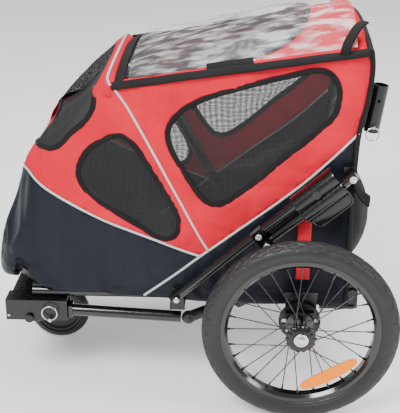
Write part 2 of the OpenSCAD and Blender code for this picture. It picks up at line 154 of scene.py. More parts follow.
weave_group, given, result = new_group(
    "plain_weave",
    [("Vector", "NodeSocketVector", (0, 0, 0)), ("Threads", "NodeSocketFloat", 1100.0)],
    [("Height", "NodeSocketFloat"), ("Mottle", "NodeSocketFloat")],
)
split = weave_group.nodes.new("ShaderNodeSeparateXYZ")
weave_group.links.new(given.outputs["Vector"], split.inputs[0])
warp = math_node(weave_group, "SINE", multiplied(weave_group, split.outputs[0], given.outputs["Threads"]))
weft = math_node(weave_group, "SINE", multiplied(weave_group, split.outputs[1], given.outputs["Threads"]))
crossing = multiplied(weave_group, warp, weft)
slubs = texture_node(weave_group, "ShaderNodeTexNoise", given.outputs["Vector"], scale=260.0, detail=3.0)
mottle = texture_node(weave_group, "ShaderNodeTexNoise", given.outputs["Vector"], scale=9.0, detail=5.0)
height = math_node(weave_group, "ADD", math_node(weave_group, "MULTIPLY", crossing, 0.35), slubs.outputs["Fac"])
weave_group.links.new(height, result.inputs["Height"])
weave_group.links.new(mottle.outputs["Fac"], result.inputs["Mottle"])


def mixed_colour(tree, factor, low, high):
    ramp = tree.nodes.new("ShaderNodeValToRGB")
    ramp.color_ramp.elements[0].color = (*low, 1)
    ramp.color_ramp.elements[1].color = (*high, 1)
    ramp.color_ramp.elements[0].position = 0.3
    ramp.color_ramp.elements[1].position = 0.7
    tree.links.new(factor, ramp.inputs["Fac"])
    return ramp.outputs["Color"]


def bump(tree, shader, height, strength, depth):
    raised = tree.nodes.new("ShaderNodeBump")
    raised.inputs["Strength"].default_value = strength
    raised.inputs["Distance"].default_value = depth
    tree.links.new(height, raised.inputs["Height"])
    tree.links.new(raised.outputs["Normal"], shader.inputs["Normal"])


def cloth_material(name, dark, light, rough, sheen, threads=1500.0):
    material, shader, tree = new_material(name, light, rough)
    shader.inputs["Specular IOR Level"].default_value = 0.22
    uv = tree.nodes.new("ShaderNodeTexCoord").outputs["UV"]
    weave = tree.nodes.new("ShaderNodeGroup")
    weave.node_tree = weave_group
    weave.inputs["Threads"].default_value = threads
    tree.links.new(uv, weave.inputs["Vector"])
    shade = math_node(tree, "ADD", math_node(tree, "MULTIPLY", weave.outputs["Mottle"], 0.75),
                      math_node(tree, "MULTIPLY", weave.outputs["Height"], 0.25))
    tree.links.new(mixed_colour(tree, shade, dark, light), shader.inputs["Base Color"])
    bump(tree, shader, weave.outputs["Height"], 0.35, 0.0004)
    shader.inputs["Specular IOR Level"].default_value = 0.2
    shader.inputs["Sheen Weight"].default_value = sheen
    shader.inputs["Sheen Roughness"].default_value = 0.4
    return material


red_cloth = cloth_material("red_polyester", (0.5, 0.001, 0.018), (0.78, 0.005, 0.03), 0.75, 0.0)
navy_cloth = cloth_material("navy_polyester", (0.0035, 0.0045, 0.009), (0.009, 0.011, 0.02), 0.45, 0.05)
black_tape = cloth_material("black_binding_tape", (0.003, 0.003, 0.0033), (0.01, 0.0098, 0.0098), 0.7, 0.03, 2600.0)
grey_piping = cloth_material("reflective_piping", (0.42, 0.45, 0.45), (0.62, 0.66, 0.66), 0.38, 0.1, 3000.0)
red_webbing = cloth_material("red_webbing", (0.5, 0.005, 0.015), (0.72, 0.01, 0.028), 0.6, 0.3, 2200.0)


# Netting for the windows: black yarn in a square mesh, with real gaps between the threads.
# Each window has its own share of gap, because the nose net is much closer than the side ones.
def net_material(name, pitch, hole, colour):
    material, shader, tree = new_material(name, colour, 0.6)
    uv = tree.nodes.new("ShaderNodeTexCoord").outputs["UV"]
    split = tree.nodes.new("ShaderNodeSeparateXYZ")
    tree.links.new(uv, split.inputs[0])
    open_x = math_node(tree, "LESS_THAN", math_node(
        tree, "ABSOLUTE", math_node(tree, "SINE", multiplied(tree, split.outputs[0], math.pi / pitch))), hole)
    open_y = math_node(tree, "LESS_THAN", math_node(
        tree, "ABSOLUTE", math_node(tree, "SINE", multiplied(tree, split.outputs[1], math.pi / pitch))), hole)
    gap = math_node(tree, "MULTIPLY", open_x, open_y)
    tree.links.new(math_node(tree, "SUBTRACT", 1.0, gap), shader.inputs["Alpha"])
    fuzz = texture_node(tree, "ShaderNodeTexNoise", uv, scale=700.0, detail=2.0)
    tree.links.new(mixed_colour(tree, fuzz.outputs["Fac"], [c * 0.5 for c in colour], [c * 1.6 for c in colour]),
                   shader.inputs["Base Color"])
    bump(tree, shader, fuzz.outputs["Fac"], 0.3, 0.0003)
    return material


window_net = net_material("window_net", 0.0024, 0.86, (0.011, 0.011, 0.012))
nose_netting = net_material("nose_netting", 0.0024, 0.36, (0.008, 0.008, 0.009))
roof_net = net_material("roof_net", 0.002, 0.8, (0.012, 0.012, 0.013))


# Cabin skin. Every panel is sewn from flat padded polyester, so its seams are drawn flat, in X and Z from the
# left. The two front corners are rounded, where the cloth rolls from the side round to the nose.
SIDE_Y = 0.215
LEAN = math.tan(math.radians(2.5))
LEAN_FROM_Z = 0.222
HOOD_RISE = 0.006


def smooth_line(points, step=0.006, closed=False):
    """A Catmull-Rom line through the points, sampled about every step metres."""
    points = [Vector(p) for p in points]
    count = len(points)
    line = []
    for i in range(count if closed else count - 1):
        before, start, end, after = (
            [points[(i + k - 1) % count] for k in range(4)] if closed
            else [points[min(max(i + k - 1, 0), count - 1)] for k in range(4)])
        pieces = max(1, round((end - start).length / step))
        for k in range(pieces):
            t = k / pieces
            line.append(0.5 * (2 * start + (end - before) * t + (2 * before - 5 * start + 4 * end - after) * t * t
                               + (3 * start - before - 3 * end + after) * t ** 3))
    if not closed:
        line.append(points[-1])
    return line


def straight_line(points, step=0.006):
    line = []
    for start, end in zip(points, points[1:]):
        pieces = max(1, round(math.dist(start, end) / step))
        line += [Vector(start).lerp(Vector(end), k / pieces) for k in range(pieces)]
    return line + [Vector(points[-1])]


def metres(*pairs):
    return [(x / 1000, z / 1000) for x, z in pairs]


nose_line = smooth_line(metres((-386, 246), (-410, 250), (-423, 268), (-419, 318), (-406, 366), (-381, 425),
                               (-361, 486), (-340, 528), (-276, 603), (-216, 657), (-184, 684)))
roof_edge_line = straight_line(metres((-184, 684), (-168, 678), (330, 750)))
back_line = smooth_line(metres((330, 750), (334, 713), (329, 654), (318, 604), (313, 563), (310, 480), (309, 400),
                               (310, 300), (308, 214)))
base_line = smooth_line(metres((308, 214), (200, 215), (89, 215), (6, 218), (-60, 223), (-114, 227), (-204, 229),
                               (-284, 234), (-340, 242), (-386, 246)))
rear_window_line = smooth_line(metres((-59, 586), (-41, 621), (-13, 641), (29, 660), (96, 680), (159, 696),
                                      (225, 711), (255, 705), (272, 680), (273, 648), (262, 618), (210, 568), (165, 531),
                                      (119, 488), (72, 451), (42, 437), (18, 443), (-4, 469), (-28, 507), (-50, 547)),
                               closed=True)
front_window_line = smooth_line(metres((-162, 578), (-140, 572), (-116, 545), (-95, 512), (-72, 474), (-54, 442),
                                       (-38, 405), (-40, 378), (-55, 362), (-80, 364), (-124, 391), (-172, 421),
                                       (-210, 448), (-234, 478), (-238, 507), (-226, 538), (-198, 562)), closed=True)
front_piping = smooth_line(metres((-359, 492), (-344, 493), (-328, 481), (-297, 457), (-248, 428), (-177, 392),
                                  (-96, 361), (-25, 333), (6, 322)))
long_piping = smooth_line(metres((-112, 229), (-54, 273), (6, 322), (51, 357), (107, 401), (204, 477), (260, 530),
                                 (316, 588)))
hoop_piping = smooth_line(metres((-166, 676), (-139, 638), (-111, 587), (-73, 515), (-34, 440), (6, 363),
                                 (22, 336)))
nose_net_line = smooth_line(metres((-339, 541), (-315, 542), (-296, 543), (-279, 548), (-265, 561), (-253, 575),
                                   (-237, 591), (-219, 607), (-208, 624), (-203, 640), (-202, 655), (-207, 665)))


def corner_radius(z):
    return 0.062 * (1 - 0.78 * min(max((z - 0.57) / 0.11, 0), 1))


def nearest_nose(x, z):
    """The nearest place on the nose line: how far inside it the point is, where, and the way in."""
    best = None
    for start, end in zip(nose_line, nose_line[1:]):
        run = end - start
        t = min(max(((x - start.x) * run.x + (z - start.y) * run.y) / run.length_squared, 0), 1)
        foot = start + run * t
        distance = math.hypot(x - foot.x, z - foot.y)
        if best is None or distance < best[0]:
            way_in = Vector((run.y, -run.x)).normalized()
            inward = (x - foot.x) * way_in.x + (z - foot.y) * way_in.y
            best = (distance, math.copysign(distance, inward), foot, way_in)
    return best[1:]


def slack_in(x, z):
    """How far the cloth stands out from its frame, in metres."""
    along = min(max((x + 0.413) / 0.72, 0), 1)
    up = min(max((z - 0.215) / 0.5, 0), 1)
    belly = 0.008 * math.sin(math.pi * along) * math.sin(math.pi * up)
    return belly + 0.0016 * noise.noise(Vector((x / 0.1, z / 0.1, 1.7)))


def on_side(x, z, lift=0.0):
    """The left skin's place for a seam point, its way out, and the same point unrolled flat."""
    inside_by, foot, way_in = nearest_nose(x, z) if x < -0.05 else (1.0, None, None)
    lean = (z - LEAN_FROM_Z) * LEAN
    out = slack_in(x, z) + lift
    radius = corner_radius(z)
    if inside_by >= radius:
        return Vector((x, -SIDE_Y + lean - out, z)), Vector((0, -1, 0)), Vector((x, z))
    angle = math.acos(1 - max(inside_by, 0) / radius)
    facing = Vector((-way_in.x * math.cos(angle), -math.sin(angle), -way_in.y * math.cos(angle)))
    place = Vector((foot.x + way_in.x * inside_by, -SIDE_Y + lean + radius * (1 - math.sin(angle)),
                    foot.y + way_in.y * inside_by))
    flat = foot + way_in * (radius * (angle - math.pi / 2 + 1))
    return place + facing * out, facing, flat


def from_flat(x, z):
    """The place on the left skin of a point that is given unrolled flat."""
    inside_by, foot, way_in = nearest_nose(x, z) if x < -0.05 else (1.0, None, None)
    radius = corner_radius(foot.y if foot else z)
    if inside_by >= radius:
        return on_side(x, z)[0]
    angle = min(max(inside_by / radius + math.pi / 2 - 1, 0), math.pi / 2)
    real = foot + way_in * (radius * (1 - math.cos(angle)))
    facing = Vector((-way_in.x * math.cos(angle), -math.sin(angle), -way_in.y * math.cos(angle)))
    place = Vector((real.x, -SIDE_Y + (real.y - LEAN_FROM_Z) * LEAN + radius * (1 - math.sin(angle)), real.y))
    return place + facing * slack_in(real.x, real.y)


def inside(point, outline):
    x, z = point
    found = False
    for (x0, z0), (x1, z1) in zip(outline, outline[1:] + outline[:1]):
        if (z0 > z) != (z1 > z) and x < (x1 - x0) * (z - z0) / (z1 - z0) + x0:
            found = not found
    return found


def sewn_sheet(outline, seams, holes, spacing):
    """A flat sheet of triangles whose edges follow the outline, the seams and the holes.
    Returns its points, its triangles and the numbers of the points that a seam or an edge holds."""
    points = []
    edges = []
    for line, closed in [(outline, True)] + [(s, False) for s in seams] + [(h, True) for h in holes]:
        first = len(points)
        points += [Vector(p) for p in line]
        edges += [(first + k, first + k + 1) for k in range(len(line) - 1)]
        if closed:
            edges.append((len(points) - 1, first))
    held = len(points)
    low_x, low_z = (min(p[k] for p in outline) for k in (0, 1))
    high_x, high_z = (max(p[k] for p in outline) for k in (0, 1))
    near = {(round(p.x / spacing), round(p.y / spacing)) for p in points}
    row = 0
    z = low_z
    while z < high_z:
        x = low_x + (row % 2) * spacing / 2
        while x < high_x:
            if (round(x / spacing), round(z / spacing)) not in near and inside((x, z), outline):
                points.append(Vector((x, z)))
            x += spacing
        z += spacing * 0.87
        row += 1
    found, _, faces, sources, _, _ = geometry.delaunay_2d_cdt(points, edges, [], 0, 1e-6)
    fixed = {k for k, origin in enumerate(sources) if any(o < held for o in origin)}
    kept = []
    for face in faces:
        middle = sum((found[k] for k in face), Vector((0, 0))) / len(face)
        if inside(middle, outline) and not any(inside(middle, hole) for hole in holes):
            kept.append(tuple(face))
    used = sorted({k for face in kept for k in face})
    place_of = {k: number for number, k in enumerate(used)}
    return ([found[k] for k in used], [tuple(place_of[k] for k in face) for face in kept],
            {place_of[k] for k in fixed if k in place_of})


def bake_stack(piece):
    """Applies the piece's modifiers."""
    bpy.context.view_layer.update()
    mesh = bpy.data.meshes.new_from_object(piece.evaluated_get(bpy.context.evaluated_depsgraph_get()))
    piece.modifiers.clear()
    piece.data = mesh
    return piece


def smooth_faces(piece):
    for face in piece.data.polygons:
        face.use_smooth = True


def thicken(piece, thick):
    wall = piece.modifiers.new("thickness", "SOLIDIFY")
    wall.thickness = thick
    wall.offset = -1
    return bake_stack(piece)


def folding(piece, slot, *nodes):
    """Attaches the piece to the chassis, hides the given CAD parts and gives the piece its own mesh."""
    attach(piece, "chassis")
    if nodes:
        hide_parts(*nodes)
    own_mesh(piece)


def cut_cloth(piece, held, *rests_on):
    layer = piece.data.uv_layers[0].data
    us = [loop.uv.x for loop in layer]
    vs = [loop.uv.y for loop in layer]
    wide, long = max(us) - min(us), max(vs) - min(vs)
    area = sum(face.area for face in piece.data.polygons)
    if area < 0.32 * wide * long:
        wide, long = area / max(wide, long), max(wide, long)


def below(x, z, line):
    for start, end in zip(line, line[1:]):
        if min(start.x, end.x) <= x <= max(start.x, end.x) and start.x != end.x:
            return z < start.y + (end.y - start.y) * (x - start.x) / (end.x - start.x)
    return False


flat_nose = [foot + Vector((run.y, -run.x)).normalized() * corner_radius(foot.y) * (1 - math.pi / 2)
             for foot, run in zip(nose_line, [b - a for a, b in zip(nose_line, nose_line[1:])]
                                  + [nose_line[-1] - nose_line[-2]])]
flat_outline = flat_nose + roof_edge_line[1:] + back_line[1:] + base_line[1:-1]
flat_seam = {}
for seam_name, seam in (("front", front_piping), ("long", long_piping), ("hoop", hoop_piping),
                        ("net", nose_net_line)):
    flat_seam[seam_name] = [on_side(p.x, p.y)[2] for p in seam]
SKIN_STEP = 0.008
flat_points, flat_faces, held_points = sewn_sheet(
    flat_outline, [line[1:-1] for line in flat_seam.values()], [rear_window_line, front_window_line], SKIN_STEP)

# The nose runs straight across between the two rounded corners, bows forward a little, and rises at its top
# to the front arch. It joins both sides into one skin.
skin = bmesh.new()
skin_uv = skin.loops.layers.uv.new("UVMap")
skin_held = skin.verts.layers.int.new("held")
RED_LEFT, RED_RIGHT, NAVY_LEFT, NAVY_RIGHT, NOSE_RED, NOSE_NAVY, NOSE_NET = range(7)
net_area = flat_seam["net"] + [p for p, foot in zip(flat_nose, nose_line) if 0.541 < foot.y < 0.665][::-1]
for turn in (1, -1):
    made = []
    for number, point in enumerate(flat_points):
        place = from_flat(point.x, point.y)
        vert = skin.verts.new((place.x, place.y * turn, place.z))
        vert[skin_held] = int(number in held_points)
        made.append(vert)
    for triangle in flat_faces:
        corners = [flat_points[k] for k in triangle]
        middle = sum(corners, Vector((0, 0))) / 3
        face = skin.faces.new([made[k] for k in (triangle if turn > 0 else triangle[::-1])])
        line = flat_seam["front"] if middle.x < front_piping[-1].x else flat_seam["long"]
        navy = below(middle.x, middle.y, line) if middle.x > line[0].x else middle.y < line[0].y
        net_side = middle.x < -0.2 and inside(middle, net_area)
        face.material_index = (NAVY_LEFT if turn > 0 else NAVY_RIGHT) if navy else (
            NOSE_NET if net_side else (RED_LEFT if turn > 0 else RED_RIGHT))
        for loop, corner in zip(face.loops, corners if turn > 0 else corners[::-1]):
            loop[skin_uv].uv = corner

nose_run = [0.0]
for start, end in zip(nose_line, nose_line[1:]):
    nose_run.append(nose_run[-1] + (end - start).length)
ACROSS = 40


def nose_point(k, v):
    foot = nose_line[k]
    near = nose_line[max(k - 1, 0)]
    far = nose_line[min(k + 1, len(nose_line) - 1)]
    way_out = Vector((near.y - far.y, far.x - near.x)).normalized()
    half = SIDE_Y - (foot.y - LEAN_FROM_Z) * LEAN - corner_radius(foot.y)
    rise = max(0, 1 - (nose_run[-1] - nose_run[k]) / 0.05) ** 2 * HOOD_RISE
    height = nose_run[k] / nose_run[-1]
    belly = 0.010 * math.sin(math.pi * min(height / 0.55, 1))
    hollow = 0.008 * math.sin(math.pi * max(height - 0.45, 0) / 0.55)
    bow = (belly - hollow) * (1 - v * v)
    return Vector((foot.x + way_out.x * bow + rise * (1 - abs(v) ** 2.4), half * v,
                   foot.y + way_out.y * bow + rise * (1 - abs(v) ** 2.4)))


def nose_row(height):
    return min(range(len(nose_line)), key=lambda k: abs(nose_line[k].y - height) + (nose_line[k].y < 0.26))


piping_row, net_row, hood_row = nose_row(0.491), nose_row(0.541), nose_row(0.665)
rows = [[skin.verts.new(nose_point(k, 2 * j / ACROSS - 1)) for j in range(ACROSS + 1)]
        for k in range(len(nose_line))]
for k, row in enumerate(rows):
    for vert in row:
        vert[skin_held] = int(k in (0, piping_row, net_row, hood_row, len(rows) - 1))
for k in range(len(rows) - 1):
    for j in range(ACROSS):
        face = skin.faces.new((rows[k][j], rows[k][j + 1], rows[k + 1][j + 1], rows[k + 1][j]))
        face.material_index = NOSE_NAVY if k < piping_row else NOSE_NET if net_row <= k < hood_row else NOSE_RED
        for loop, (row, column) in zip(face.loops, ((k, j), (k, j + 1), (k + 1, j + 1), (k + 1, j))):
            loop[skin_uv].uv = (0.3 * (2 * column / ACROSS - 1), nose_run[row])
bmesh.ops.remove_doubles(skin, verts=skin.verts, dist=0.0012)
bmesh.ops.recalc_face_normals(skin, faces=skin.faces)
skin.faces.ensure_lookup_table()
if max(skin.faces, key=lambda f: f.calc_center_median().x).normal.x < 0:
    bmesh.ops.reverse_faces(skin, faces=skin.faces)
skin_mesh = bpy.data.meshes.new("cabin_skin")
skin.verts.index_update()
held_now = [v.index for v in skin.verts if v[skin_held]]
skin.to_mesh(skin_mesh)
skin.free()
cabin_skin = bpy.data.objects.new("cabin_skin", skin_mesh)
bpy.context.collection.objects.link(cabin_skin)


# The cloth is cut about one per cent larger than its frame, so it buckles between the seams that hold it.
def slacken(piece, held, slack, frames, gravity=1.0, stiff=15.0, bending=0.4):
    group = piece.vertex_groups.new(name="held")
    group.add(held, 1.0, "REPLACE")
    cloth = piece.modifiers.new("slack", "CLOTH")
    settings = cloth.settings
    settings.quality = 5
    settings.mass = 0.3
    settings.vertex_group_mass = "held"
    settings.shrink_min = -slack
    settings.tension_stiffness = stiff
    settings.compression_stiffness = stiff
    settings.shear_stiffness = stiff / 3
    settings.bending_stiffness = bending
    settings.effector_weights.gravity = gravity
    cloth.collision_settings.use_collision = False
    cloth.point_cache.frame_start = 1
    cloth.point_cache.frame_end = frames
    for number in range(1, frames + 1):
        bpy.context.scene.frame_set(number)
    bake_stack(piece)
    bpy.context.scene.frame_set(1)
    piece.vertex_groups.clear()


slacken(cabin_skin, held_now, 0.012, 12)


def part_of_skin(name, which, thick):
    cut = bmesh.new()
    cut.from_mesh(cabin_skin.data)
    bmesh.ops.delete(cut, geom=[f for f in cut.faces if f.material_index != which], context="FACES")
    for face in cut.faces:
        face.material_index = 0
        face.smooth = True
    mesh = bpy.data.meshes.new(name)
    cut.to_mesh(mesh)
    cut.free()
    piece = bpy.data.objects.new(name, mesh)
    bpy.context.collection.objects.link(piece)
    cut_cloth(piece, "stretched", "front_hoop", "rear_hoop")
    return thicken(piece, thick) if thick else piece


for name, which, finish, slot, nodes in (
    ("side_upper_left", RED_LEFT, red_cloth, "red_fabric", ("cabin_side_left",)),
    ("side_upper_right", RED_RIGHT, red_cloth, "red_fabric", ("cabin_side_right",)),
    ("side_lower_left", NAVY_LEFT, navy_cloth, "navy_fabric", ()),
    ("side_lower_right", NAVY_RIGHT, navy_cloth, "navy_fabric", ()),
    ("nose_upper", NOSE_RED, red_cloth, "red_fabric", ("cabin_front_upper",)),
    ("nose_lower", NOSE_NAVY, navy_cloth, "navy_fabric", ("cabin_front_lower",)),
    ("nose_net", NOSE_NET, nose_netting, "mesh_fabric", ("front_window",)),
):
    panel = part_of_skin(name, which, 0 if which == NOSE_NET else 0.0014)
    panel.data.materials.clear()
    panel.data.materials.append(finish)
    folding(panel, slot, *nodes)
skin_tree = bvhtree.BVHTree.FromObject(cabin_skin, bpy.context.evaluated_depsgraph_get())
bpy.data.objects.remove(cabin_skin)


# Piping and binding. A round reflective cord is sewn into the main seams, and black tape is folded over each
# window's edge, gathered where the edge turns tightly.
def on_cloth(x, z, lift):
    """A seam point set on the finished cloth of the left side, and the way out there."""
    place, facing, _ = on_side(x, z)
    found = skin_tree.find_nearest(place, 0.02)[0]
    return (found or place) + facing * lift, facing


def swept(name, places, facings, profile, closed=False, swell=None):
    """A strip of the given cross-section, laid along places with its back to the cloth."""
    count = len(places)
    points, faces, across = [], [], len(profile)
    run = [0.0]
    for k in range(count):
        before = places[k - 1] if closed or k else places[k]
        after = places[(k + 1) % count] if closed or k < count - 1 else places[k]
        along = (after - before).normalized()
        out = (facings[k] - along * facings[k].dot(along)).normalized()
        side = along.cross(out)
        size = swell(k) if swell else 1.0
        for a, b in profile:
            points.append(places[k] + side * a + out * b * size)
        if k:
            run.append(run[-1] + (places[k] - places[k - 1]).length)
    for k in range(count if closed else count - 1):
        for j in range(across):
            a, b = k * across + j, k * across + (j + 1) % across
            c, d = ((k + 1) % count) * across + (j + 1) % across, ((k + 1) % count) * across + j
            faces.append((a, b, c, d))
    if not closed:
        faces += [tuple(range(across))[::-1], tuple((count - 1) * across + j for j in range(across))]
    piece = add_mesh(name, points, faces)
    layer = piece.data.uv_layers.new(name="UVMap")
    girth = [0.0]
    for (a0, b0), (a1, b1) in zip(profile, profile[1:]):
        girth.append(girth[-1] + math.hypot(a1 - a0, b1 - b0))
    for loop in piece.data.loops:
        k, j = divmod(loop.vertex_index, across)
        layer.data[loop.index].uv = (run[k], girth[j])
    smooth_faces(piece)
    clean = bmesh.new()
    clean.from_mesh(piece.data)
    bmesh.ops.recalc_face_normals(clean, faces=clean.faces)
    clean.to_mesh(piece.data)
    clean.free()
    return piece


def mirrored(piece, name):
    """The same piece for the right-hand side."""
    mesh = piece.data.copy()
    mesh.transform(Matrix.Scale(-1, 4, (0, 1, 0)))
    mesh.flip_normals()
    copy = bpy.data.objects.new(name, mesh)
    bpy.context.collection.objects.link(copy)
    return copy


def joined(name, pieces):
    """One piece from several, with their materials."""
    whole = bmesh.new()
    for piece in pieces:
        whole.from_mesh(piece.data)
    mesh = bpy.data.meshes.new(name)
    whole.to_mesh(mesh)
    whole.free()
    for material in pieces[0].data.materials:
        mesh.materials.append(material)
    for piece in pieces:
        bpy.data.objects.remove(piece)
    result = bpy.data.objects.new(name, mesh)
    bpy.context.collection.objects.link(result)
    return result


def round_profile(radius, corners=8):
    return [(radius * math.cos(2 * math.pi * k / corners), radius * math.sin(2 * math.pi * k / corners))
            for k in range(corners)]


def tape_profile(width, thick):
    half = width / 2
    return [(-half, -thick * 0.5), (-half, thick * 0.3), (-half * 0.8, thick * 0.85), (0, thick),
            (half * 0.8, thick * 0.85),
            (half, thick * 0.3), (half, -thick * 0.5)]


def finish_piece(piece, material):
    piece.data.materials.clear()
    piece.data.materials.append(material)
    return piece


def trim(name, places, facings, profile, material, closed=False):
    """A swept strip, attached to the chassis like the cabin's cloth."""
    folding(finish_piece(swept(name, places, facings, profile, closed), material), "mesh_fabric")


def laid_on_side(name, line, profile, lift, material, closed=False, swell=None):
    places, facings = zip(*[on_cloth(p.x, p.y, lift) for p in line])
    return finish_piece(swept(name, list(places), list(facings), profile, closed, swell), material)


for name, line in (("front_piping", front_piping), ("long_piping", long_piping), ("hoop_piping", hoop_piping)):
    piece = laid_on_side(name + "_left", line, round_profile(0.0026), 0.0012, grey_piping)
    other = mirrored(piece, name + "_right")
    folding(piece, "mesh_fabric")
    folding(other, "mesh_fabric")
nose_cord = swept("nose_piping", [nose_point(piping_row, 2 * j / 40 - 1) + Vector((-0.0012, 0, 0))
                                  for j in range(41)],
                  [Vector((-1, 0, 0.4))] * 41, round_profile(0.0026))
folding(finish_piece(nose_cord, grey_piping), "mesh_fabric")


def gathers(line, closed=True):
    """Ribs across the tape, about 3 mm apart, that rise where the line turns tightly."""
    count = len(line)
    turn = []
    for k in range(count):
        a, b, c = line[k - 2], line[k], line[(k + 2) % count]
        if not closed and (k < 2 or k > count - 3):
            turn.append(0.0)
            continue
        turn.append(min(abs((b - a).angle_signed(c - b, 0.0)) / 0.5, 1.0))
    return lambda k: 1 + (0.12 + 0.55 * turn[k]) * (1 if k % 2 else -1)


fine_rear = smooth_line(rear_window_line[::5], 0.0016, closed=True)
fine_front = smooth_line(front_window_line[::5], 0.0016, closed=True)
for name, line in (("rear_window_binding", fine_rear), ("front_window_binding", fine_front)):
    piece = laid_on_side(name + "_left", line, tape_profile(0.0115, 0.0022), 0.0004, black_tape, True,
                         gathers(line))
    other = mirrored(piece, name + "_right")
    folding(piece, "mesh_fabric")
    folding(other, "mesh_fabric")
net_edge = [on_cloth(p.x, p.y, 0.0004) for p in smooth_line(nose_net_line[::4], 0.002)]
edge_places = [p for p, f in net_edge[::-1]]
edge_facings = [f for p, f in net_edge[::-1]]
for row, order in ((net_row, 1), (hood_row, -1)):
    edge_places += [nose_point(row, order * (2 * j / 60 - 1)) for j in range(1, 60)]
    edge_facings += [Vector((-1, 0, 0.6))] * 59
    if order > 0:
        edge_places += [Vector((p.x, -p.y, p.z)) for p, f in net_edge]
        edge_facings += [Vector((f.x, -f.y, f.z)) for p, f in net_edge]
trim("nose_net_binding", edge_places, edge_facings, tape_profile(0.011, 0.0022), black_tape, True)


# Lockstitch: dark red thread in short stitches, 4.5 mm from one to the next, sunk a little into the cloth.
# It runs beside the piping on the red cloth and round both side windows.
def offset_line(line, by, closed=False):
    moved = []
    count = len(line)
    for k in range(count):
        before = line[k - 1] if closed or k else line[k]
        after = line[(k + 1) % count] if closed or k < count - 1 else line[k]
        along = (after - before).normalized()
        moved.append(line[k] + Vector((-along.y, along.x)) * by)
    return moved


def stitches(lines):
    points, faces = [], []
    for line in lines:
        left_over = 0.0
        for start, end in zip(line, line[1:]):
            length = (end - start).length
            at = left_over
            while at < length:
                middle = start.lerp(end, at / length)
                place, facing = on_cloth(middle.x, middle.y, 0.0002)
                further = middle + (end - start) / length * 0.001
                ahead, _ = on_cloth(further.x, further.y, 0.0002)
                along = (ahead - place).normalized()
                side = along.cross(facing).normalized() * 0.00055
                first = len(points)
                points += [place - along * 0.0016, place + side, place + facing * 0.0006, place - side,
                           place + along * 0.0016]
                faces += [(first + a, first + b, first + c) for a, b, c in (
                    (0, 1, 2), (0, 2, 3), (4, 2, 1), (4, 3, 2), (0, 3, 1), (4, 1, 3))]
                at += 0.0045
            left_over = at - length
    return add_mesh("stitches", points, faces)


red_thread, thread_shader, tree = new_material("dark_red_thread", (0.16, 0.004, 0.01), 0.7)
thread_coordinates = tree.nodes.new("ShaderNodeTexCoord").outputs["Object"]
ply = texture_node(tree, "ShaderNodeTexNoise", thread_coordinates, scale=2400.0, detail=2.0)
tree.links.new(mixed_colour(tree, ply.outputs["Fac"], (0.1, 0.003, 0.008), (0.24, 0.006, 0.016)),
               thread_shader.inputs["Base Color"])
stitch_lines = [offset_line(front_piping[6:], 0.009), offset_line(long_piping[24:], 0.009)]
stitch_lines += [offset_line(hoop_piping, away) for away in (0.009, -0.009, -0.013)]
for window in (rear_window_line, front_window_line):
    ring = offset_line(window, -0.0095, True)
    stitch_lines.append(ring + ring[:1])
topstitch = finish_piece(stitches(stitch_lines), red_thread)
topstitch.name = "topstitch_left"
other = mirrored(topstitch, "topstitch_right")
folding(topstitch, "red_fabric")
folding(other, "red_fabric")


# Side windows: two panels of black netting in each side, cut a little full.
# They are sewn in under the window binding and hang slack in the opening.
for name, line in (("rear_net", rear_window_line), ("front_net", front_window_line)):
    net_points, net_faces, net_held = sewn_sheet(line, [], [], 0.012)
    net = add_mesh(name + "_left", [from_flat(p.x, p.y) for p in net_points], net_faces)
    layer = net.data.uv_layers.new(name="UVMap")
    for loop in net.data.loops:
        layer.data[loop.index].uv = net_points[loop.vertex_index]
    slacken(net, sorted(net_held), 0.01, 10)
    smooth_faces(net)
    finish_piece(net, window_net)
    cut_cloth(net, "stretched", "side_upper_left")
    other = mirrored(net, name + "_right")
    folding(net, "mesh_fabric", *(["side_windows_left"] if name == "rear_net" else []))
    cut_cloth(other, "stretched", "side_upper_right")
    folding(other, "mesh_fabric", *(["side_windows_right"] if name == "rear_net" else []))


# Roof: a red polyester panel stretched between the hoops, crowned across, with a big net let into it.
# Black tape binds the net and all four edges, and the tape is wider at the front.
ROOF_FRONT, ROOF_REAR = Vector((-0.168, 0.675)), Vector((0.330, 0.749))
ROOF_HALF = 0.194


ROOF_LONG = 0.498


def roof_place(x, y, lift=0.0):
    """Where a point of the roof's flat cloth lies: x back from the front edge, y across."""
    u = x / (ROOF_REAR.x - ROOF_FRONT.x)
    v = min(abs(y) / ROOF_HALF, 1)
    crown = 0.026 + 0.042 * u if u < 0.92 else 0.0646 * (1 - ((u - 0.92) / 0.08) ** 2 * 0.8)
    crown -= 0.013 * max(0, 1 - u / 0.11) ** 1.5
    slump = 0.0014 * noise.noise(Vector((x / 0.07, y / 0.07, 4.0)))
    return Vector((ROOF_FRONT.x + x, y, ROOF_FRONT.y + (ROOF_REAR.y - ROOF_FRONT.y) * u
                   + crown * (1 - v ** 2.4) + lift + slump))


